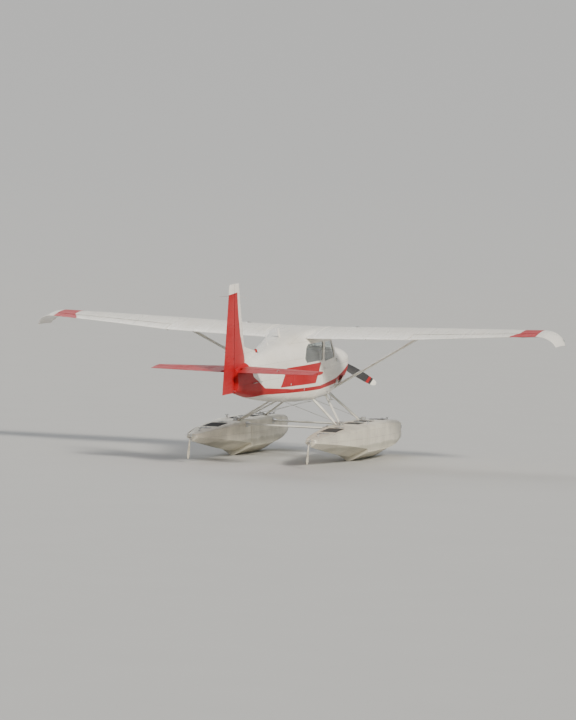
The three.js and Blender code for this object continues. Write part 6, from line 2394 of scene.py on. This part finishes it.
rug = carve(core(spread(-2.965, -0.036, 0.1), 0.037), (KEEP, rug_space))
piece("cabin_carpet", rug, FINISH.carpet)


def inside(side, places):
    """Points at (x, z, depth) behind the fuselage side."""
    return [on_side(x, z, side, -depth)[0] for x, z, depth in places]


# A door's pull and its inner latch: x, z, depth
GRIP = (
    (-0.72, 0.60, 0.036), (-0.74, 0.60, 0.075), (-0.90, 0.60, 0.082), (-1.06, 0.60, 0.075),
    (-1.08, 0.60, 0.036),
)
LATCH = ((-1.17, 0.66, 0.034), (-1.17, 0.66, 0.062), (-1.10, 0.67, 0.066))


for name, side in SIDES:
    door = "door_" + name
    piece("door_lining_" + name, sided(door_lining, side), FINISH.trim, door)
    piece("door_grip_" + name, bent(inside(side, GRIP), 0.011, 16), FINISH.panel, door)
    piece("door_inner_latch_" + name, bent(inside(side, LATCH), 0.0065, 12, 5), FINISH.alloy, door)

# Instruments, facing aft

BOARD = SimpleNamespace(x=-0.334, low=0.560, high=0.915)
# The middle of the port front seat, and half its width
SEAT_Y, SEAT_HALF = 0.265, 0.212


def facing_aft(y, z, profile, sides=32, out=0.0):
    return lathe(profile, (BOARD.x - out, y, z), -AHEAD, sides)


board_space = core((-0.345, -0.330, -0.300), WALL + 0.002)
board = carve(board_space, (KEEP, slab(BOARD.x, -0.312, BOARD.low, BOARD.high)))
shelf_space = core(spread(-0.345, -0.130, 0.03), WALL + 0.002)
shelf = carve(shelf_space, (KEEP, slab(-0.322, -0.180, 0.890, BOARD.high)))
piece("instrument_board", Shape(board, shelf), FINISH.panel, node="instrument_panel")
radios = Shape(tube([(BOARD.x, y, BOARD.high - 0.010) for y in (-0.46, 0.46)], 0.017, 16))
faces, bezels, marks, lamps = Shape(), Shape(), Shape(), Shape()
NEEDLE = ((-0.0005, -1), (0.0005, -1), (0.0005, 1), (-0.0005, 1))
# Dials: y, z, radius
DIALS = [(y, z, 0.039) for y in (0.335, 0.250, 0.165) for z in (0.842, 0.752)]
DIALS += [(-0.225, z, 0.030) for z in (0.852, 0.780)] + [(-0.300, z, 0.030) for z in (0.852, 0.780)]
DIALS += [(0.078, z, 0.032) for z in (0.842, 0.762)] + [(0.405, z, 0.026) for z in (0.842, 0.775)]
for number, (y, z, radius) in enumerate(DIALS):
    faces.add(drum((BOARD.x, y, z), -AHEAD, radius - 0.002, 0.0015))
    rim, glass = radius + 0.004, radius - 0.003
    bezels.add(facing_aft(y, z, [(-0.002, rim), (0.005, rim), (0.008, radius), (0.006, glass), (0, glass)]))
    for a in circle(12):
        place = Matrix.Translation((BOARD.x - 0.0018, y, z)) @ Matrix.Rotation(a, 4, "X")
        marks.add(cuboid(-0.0006, 0.0006, -0.0008, 0.0008, radius * 0.74, radius * 0.90), place)
    place = Matrix.Translation((BOARD.x - 0.0032, y, z)) @ Matrix.Rotation(0.7 + 1.9 * number, 4, "X")
    ends = ((-0.006, 0.0016), (radius * 0.66, 0.0004))
    marks.add(loft([[(x, y * half, z) for x, y in NEEDLE] for z, half in ends]), place)
for z in (0.868, 0.826, 0.784, 0.742):
    radios.add(block(BOARD.x - 0.012, BOARD.x + 0.004, -0.155, 0.008, z - 0.018, z + 0.018, 0.0025))
    lamps.add(block(BOARD.x - 0.0132, BOARD.x - 0.010, -0.118, -0.030, z - 0.008, z + 0.009, 0.001))
    for y in (-0.140, -0.008):
        radios.add(facing_aft(y, z, [(0, 0.0085), (0.014, 0.0075), (0.014, 0)], 20, 0.011))
for k in range(9):
    y = 0.400 - 0.034 * k
    radios.add(block(BOARD.x - 0.014, BOARD.x + 0.002, y - 0.008, y + 0.008, 0.626, 0.652, 0.002))
piece("radio_stack", radios, FINISH.grey_part)
piece("dial_faces", faces, FINISH.dial)
piece("dial_bezels", bezels, FINISH.panel)
piece("dial_markings", marks, FINISH.mark)
piece("radio_windows", lamps, FINISH.dial)
for kind, y, finished, knob in (
    ("throttle_knob", 0.055, FINISH.panel, 0.019),
    ("propeller_knob", 0.005, FINISH.blue_part, 0.015),
    ("mixture_knob", -0.045, FINISH.red_part, 0.015),
):
    stem = [(-0.01, 0), (0, 0.014), (0.006, 0.014), (0.008, 0.0045), (0.045, 0.0045)]
    grip = [(0, 0.006), (0.004, knob * 0.8), (0.012, knob), (0.022, knob * 0.92), (0.027, 0)]
    piece(kind, Shape(facing_aft(y, 0.665, stem, 20), facing_aft(y, 0.665, grip, 28, 0.044)), finished)
YOKE = SimpleNamespace(x=-0.460, z=0.770)
# The right half of a yoke about its middle: y, z
HORNS = (
    (-0.102, 0.072), (-0.112, 0.030), (-0.104, -0.028), (-0.066, -0.062), (-0.026, -0.040), (0, -0.026)
)
yokes = Shape()
for side in (1, -1):
    half = [Vector((YOKE.x - 0.10 * abs(y), side * SEAT_Y + y, YOKE.z + z)) for y, z in HORNS]
    other = [Vector((p.x, 2 * side * SEAT_Y - p.y, p.z)) for p in reversed(half[:-1])]
    grip = curve_through([*half, *other], 6)
    count = len(grip) - 1
    yokes.add(tube(grip, [0.0105 + 0.0035 * abs(2 * k / count - 1) ** 3 for k in range(count + 1)], 16))
    yokes.add(tube([(-0.325, side * SEAT_Y, YOKE.z), (YOKE.x, side * SEAT_Y, YOKE.z - 0.012)], 0.0125, 20))
    ends = (side * SEAT_Y - 0.030, side * SEAT_Y + 0.030)
    yokes.add(block(YOKE.x - 0.014, YOKE.x + 0.016, *ends, YOKE.z - 0.042, YOKE.z + 0.018, 0.008, 3))
    yokes.add(facing_aft(side * SEAT_Y, YOKE.z, [(-0.002, 0.030), (0.010, 0.024), (0.016, 0.014)], 28))
piece("control_yokes", yokes, FINISH.panel)
pedals = Shape()
for y in (-0.340, -0.200, 0.200, 0.340):
    pedals.add(block(-0.300, -0.288, y - 0.045, y + 0.045, 0.190, 0.300, 0.005))
    pedals.add(tube([(-0.294, y, 0.200), (-0.150, y, 0.115)], 0.008, 12))
    for z in (0.215, 0.235, 0.255, 0.275):
        pedals.add(tube([(-0.302, y - 0.038, z), (-0.302, y + 0.038, z)], 0.0025, 8))
pedals.add(tube([(-0.160, -0.40, 0.118), (-0.160, 0.40, 0.118)], 0.011, 14))
pedals.add(tube([(-0.980, 0, 0.112), (-0.800, 0, 0.180), (-0.640, 0, 0.250)], 0.011, 14))
piece("pedals_and_flap_lever", pedals, FINISH.alloy)
piece("flap_lever_grip", tube([(-0.700, 0, 0.2236), (-0.600, 0, 0.2667)], 0.017, 18), FINISH.rubber)

# Seats


def crowned(x0, x1, y0, y1, z0, z1, lean=0.0, waist=0.0):
    """The starting form of a pad, a little smaller than the space it fills."""
    form = block(x0, x1, y0, y1, z0, z1, min(z1 - z0, x1 - x0) * 0.30, 4)
    points = []
    for x, y, z in form[0]:
        part = (z - z0) / (z1 - z0)
        middle = (y0 + y1) / 2
        points.append((x - lean * part, middle + (y - middle) * (1 - waist * part), z))
    return points, form[1]


def apply_all(made):
    """Puts an object's modifiers into its mesh."""
    shown = made.evaluated_get(bpy.context.evaluated_depsgraph_get())
    mesh = bpy.data.meshes.new_from_object(shown)
    made.modifiers.clear()
    old, made.data = made.data, mesh
    bpy.data.meshes.remove(old)


def pad(name, form, sewn_way, channels, voxel=0.013):
    """A stuffed cushion: blown up as cloth, smoothed, then sewn along its channels.

    sewn_way is where the sewn face looks, and channels are the (axis, place) of the seams."""
    last_step, cap, channel_deep, channel_wide = 20, 0.012, 0.010, 0.007
    made = build(name, form, AIRFRAME, 180)
    made.data.materials.append(FINISH.cloth)
    remesh = made.modifiers.new("remesh", "REMESH")
    remesh.mode, remesh.voxel_size = "VOXEL", voxel
    apply_all(made)
    start = np.array([v.co[:] for v in made.data.vertices])
    cloth = made.modifiers.new("cloth", "CLOTH")
    cloth.settings.use_pressure = True
    cloth.settings.uniform_pressure_force = 4
    cloth.settings.effector_weights.gravity = 0
    scene = bpy.context.scene
    for step in range(1, last_step + 1):
        scene.frame_set(step)
    apply_all(made)
    scene.frame_set(1)
    moved = np.array([v.co[:] for v in made.data.vertices]) - start
    far = np.linalg.norm(moved, axis=1, keepdims=True)
    capped = start + moved * np.minimum(1, cap / np.maximum(far, 1e-9))
    made.data.vertices.foreach_set("co", capped.ravel())
    smooth = made.modifiers.new("smooth", "SUBSURF")
    smooth.levels = smooth.render_levels = 1
    apply_all(made)
    count = len(made.data.vertices)
    places, normals = np.empty(count * 3), np.empty(count * 3)
    made.data.vertices.foreach_get("co", places)
    made.data.vertices.foreach_get("normal", normals)
    places, normals = places.reshape(-1, 3), normals.reshape(-1, 3)
    inner = np.array(AIRFRAME.inverted())
    near = places @ inner[:3, :3].T + inner[:3, 3]
    pulls = [np.exp(-(((near[:, axis] - place) / channel_wide) ** 2)) for axis, place in channels]
    pull = np.max(pulls, axis=0)
    facing = normals @ np.array((AIRFRAME.to_3x3() @ Vector(sewn_way)).normalized())
    part = np.clip((facing - 0.25) / 0.45, 0, 1)
    places -= normals * (channel_deep * pull * part * part * (3 - 2 * part))[:, None]
    made.data.vertices.foreach_set("co", places.ravel())
    made.data.shade_smooth()
    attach(made, "airframe")
    return made


def met(made, lines):
    """Where lines meet a piece, and the way out of it there. A line is its start and its way."""
    tree = BVHTree.FromObject(made, bpy.context.evaluated_depsgraph_get())
    turn, inner = AIRFRAME.to_3x3(), AIRFRAME.inverted()
    hits = [tree.ray_cast(AIRFRAME @ Vector(start), (turn @ way).normalized()) for start, way in lines]
    return [(inner @ hit[0], inner.to_3x3() @ hit[1]) for hit in hits if hit[0]]


def piping(made, centre, along, over):
    """Cord sewn round a pad, in the plane of two directions through its centre."""
    ways = [Vector(along) * math.cos(a) + Vector(over) * math.sin(a) for a in circle(96)]
    path = [point for point, _ in met(made, [(Vector(centre) + way * 1.6, -way) for way in ways])]
    return tube([*path, path[0]], 0.0045, 8, False)


seat_metal, seat_cords = Shape(), Shape()
for name, side in SIDES:
    y0, y1 = side * SEAT_Y - SEAT_HALF, side * SEAT_Y + SEAT_HALF
    cushion = crowned(-1.045, -0.605, y0, y1, 0.375, 0.455)
    seams_at = ((1, side * SEAT_Y - 0.11), (1, side * SEAT_Y + 0.11), (0, -0.80))
    bottom = pad("seat_cushion_" + name, cushion, UP, seams_at)
    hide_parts("seat_front_" + name)
    rest = crowned(-1.095, -1.020, y0, y1, 0.470, 1.000, 0.142, 0.10)
    back_seams = ((1, side * SEAT_Y - 0.11), (1, side * SEAT_Y + 0.11), (2, 0.62), (2, 0.84))
    upright = pad("seat_back_" + name, rest, (1, 0, 0.25), back_seams)
    for rise in (-0.024, 0.024):
        sideways = PORT * SEAT_HALF
        seat_cords.add(piping(bottom, (-0.825, side * SEAT_Y, 0.415 + rise), (0.22, 0, 0), sideways))
        seat_cords.add(piping(upright, (-1.128 + rise, side * SEAT_Y, 0.735), (-0.071, 0, 0.265), sideways))
    for y in (y0 + 0.040, y1 - 0.040):
        legs = [(-0.640, y, 0.130), (-0.660, y, 0.355), (-1.040, y, 0.362), (-1.020, y, 0.130)]
        seat_metal.add(bent(legs, 0.011, 14, 8))
        seat_metal.add(tube([(-1.060, y, 0.365), (-1.125, y, 0.520), (-1.215, y, 0.900)], 0.010, 14))
        seat_metal.add(block(-1.150, -0.560, y - 0.014, y + 0.014, 0.109, 0.125, 0.003))
    seat_metal.add(block(-1.040, -0.640, y0 + 0.020, y1 - 0.020, 0.352, 0.372, 0.006))
bench = crowned(-1.975, -1.575, -0.430, 0.430, 0.365, 0.445)
bench_seams = ((1, 0), (1, -0.22), (1, 0.22))
bench_pad = pad("bench_cushion", bench, UP, bench_seams, voxel=0.015)
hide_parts("seat_rear")
bench_back = crowned(-2.035, -1.960, -0.430, 0.430, 0.470, 0.950, 0.100, 0.02)
bench_rest = pad("bench_back", bench_back, (1, 0, 0.2), (*bench_seams, (2, 0.70)), voxel=0.015)
for rise in (-0.024, 0.024):
    seat_cords.add(piping(bench_pad, (-1.775, 0, 0.405 + rise), (0.20, 0, 0), (0, 0.43, 0)))
    seat_cords.add(piping(bench_rest, (-2.047 + rise, 0, 0.710), (-0.050, 0, 0.24), (0, 0.43, 0)))
piece("seat_piping", seat_cords, FINISH.side_cloth)
for y in (-0.36, 0, 0.36):
    legs = [(-1.610, y, 0.112), (-1.620, y, 0.350), (-1.940, y, 0.352), (-1.960, y, 0.112)]
    seat_metal.add(bent(legs, 0.011, 14, 8))
seat_metal.add(block(-1.960, -1.600, -0.410, 0.410, 0.346, 0.362, 0.006))
piece("seat_frames", seat_metal, FINISH.alloy)


def belts():
    """Lap belts laid across each front cushion, with buckles, and shoulder straps on the backs."""
    cloth, metal = Shape(), Shape()
    flat = [(-0.023, 0.0005), (0.023, 0.0005), (0.023, 0.0028), (-0.023, 0.0028)]
    for name, side in SIDES:
        y = side * SEAT_Y
        lap = [
            (mix(-0.960, -0.880, 1 - abs(2 * t - 1)), y + mix(-0.200, 0.200, t), 0.8)
            for t in np.linspace(0.02, 0.98, 26)
        ]
        pairs = met(bpy.data.objects["seat_cushion_" + name], [(start, -UP) for start in lap])
        cloth.add(bead_on(pairs, flat, False))
        metal.add(block_on(pairs[len(pairs) // 2][0], 0.028, 0.035, 0.001, 0.017, 0.005))
        for off in (-0.12, 0.12):
            strap = [(-0.70, y + off * (0.55 + 0.45 * t), 0.54 + 0.40 * t) for t in np.linspace(0, 1, 22)]
            pairs = met(bpy.data.objects["seat_back_" + name], [(start, -AHEAD) for start in strap])
            cloth.add(bead_on(pairs, flat, False))
    piece("seat_belts", cloth, FINISH.webbing)
    piece("belt_buckles", metal, FINISH.steel)


belts()


# Floor, light and camera


def floor():
    """A pale floor, flat under the aircraft, that rises far away into a plain background."""
    rings = []
    for radius, height in ((150, 0), (200, 4), (260, 18), (320, 45), (370, 80), (400, 120)):
        rings.append([(radius * math.cos(a), radius * math.sin(a), height - 0.002) for a in circle(96)])
    return loft(rings, capped=False), rings[0]


bowl, rim = floor()
ground = build("floor", Shape(bowl, (rim, [list(range(len(rim)))])), WORLD, 180)
floor_paint, g = material("pale_floor", Roughness=0.85)
patch = g.noise(g.here(), 0.6, 3)
away = g.node("VectorMath", operation="LENGTH")
g.put(away.inputs[0], g.here())
far = g.rise(away.outputs["Value"], 60, 240)
pale = g.mixed(patch, (0.48, 0.48, 0.47, 1), (0.455, 0.455, 0.445, 1))
glow = g.mixed(far, (0, 0, 0, 1), (0.50, 0.50, 0.49, 1))
g.looks(Base_Color=g.mixed(far, pale, (0.04, 0.04, 0.04, 1)), Emission_Color=glow, Emission_Strength=1.0)
ground.data.materials.append(floor_paint)
ground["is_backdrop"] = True

world = bpy.data.worlds.new("soft_sky")
bpy.context.scene.world = world
world.use_nodes = True
world.node_tree.nodes["Background"].inputs["Color"].default_value = (0.90, 0.94, 1.0, 1)
world.node_tree.nodes["Background"].inputs["Strength"].default_value = 0.36


def sun(name, towards, strength, spread_by, colour):
    """A far light that shines from one direction."""
    light = bpy.data.lights.new(name, "SUN")
    light.energy, light.angle, light.color = strength, math.radians(spread_by), colour
    made = bpy.data.objects.new(name, light)
    made.rotation_euler = Vector(towards).to_track_quat("Z", "Y").to_euler()
    bpy.context.scene.collection.objects.link(made)


sun("low_key", (-0.64, -0.66, 0.55), 4.5, 10, (1, 0.94, 0.83))
sun("front_fill", (0.60, 0.56, 0.57), 1.4, 40, (0.96, 0.98, 1))

VIEW = SimpleNamespace(
    azimuth=math.radians(286.5), rise=math.radians(2.5), away=100.0, roll=math.radians(1.9)
)
VIEW.centre = Vector((0.35, 0, 2.0))
level = math.cos(VIEW.rise)
back = Vector((math.sin(VIEW.azimuth) * level, -math.cos(VIEW.azimuth) * level, math.sin(VIEW.rise)))
lens = bpy.data.cameras.new("long_lens")
lens.sensor_width = 36
lens.sensor_fit = "AUTO"
lens.lens = 248
lens.clip_start, lens.clip_end = 1, 1000
camera = bpy.data.objects.new("long_lens", lens)
turned = back.to_track_quat("Z", "Y").to_matrix() @ Matrix.Rotation(VIEW.roll, 3, "Z")
camera.matrix_world = Matrix.Translation(VIEW.centre + back * VIEW.away) @ turned.to_4x4()
bpy.context.scene.collection.objects.link(camera)
bpy.context.scene.camera = camera

bpy.context.view_layer.update()
sizes = {"cad": CAD_BOX, "visual": [list(corner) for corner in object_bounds()]}
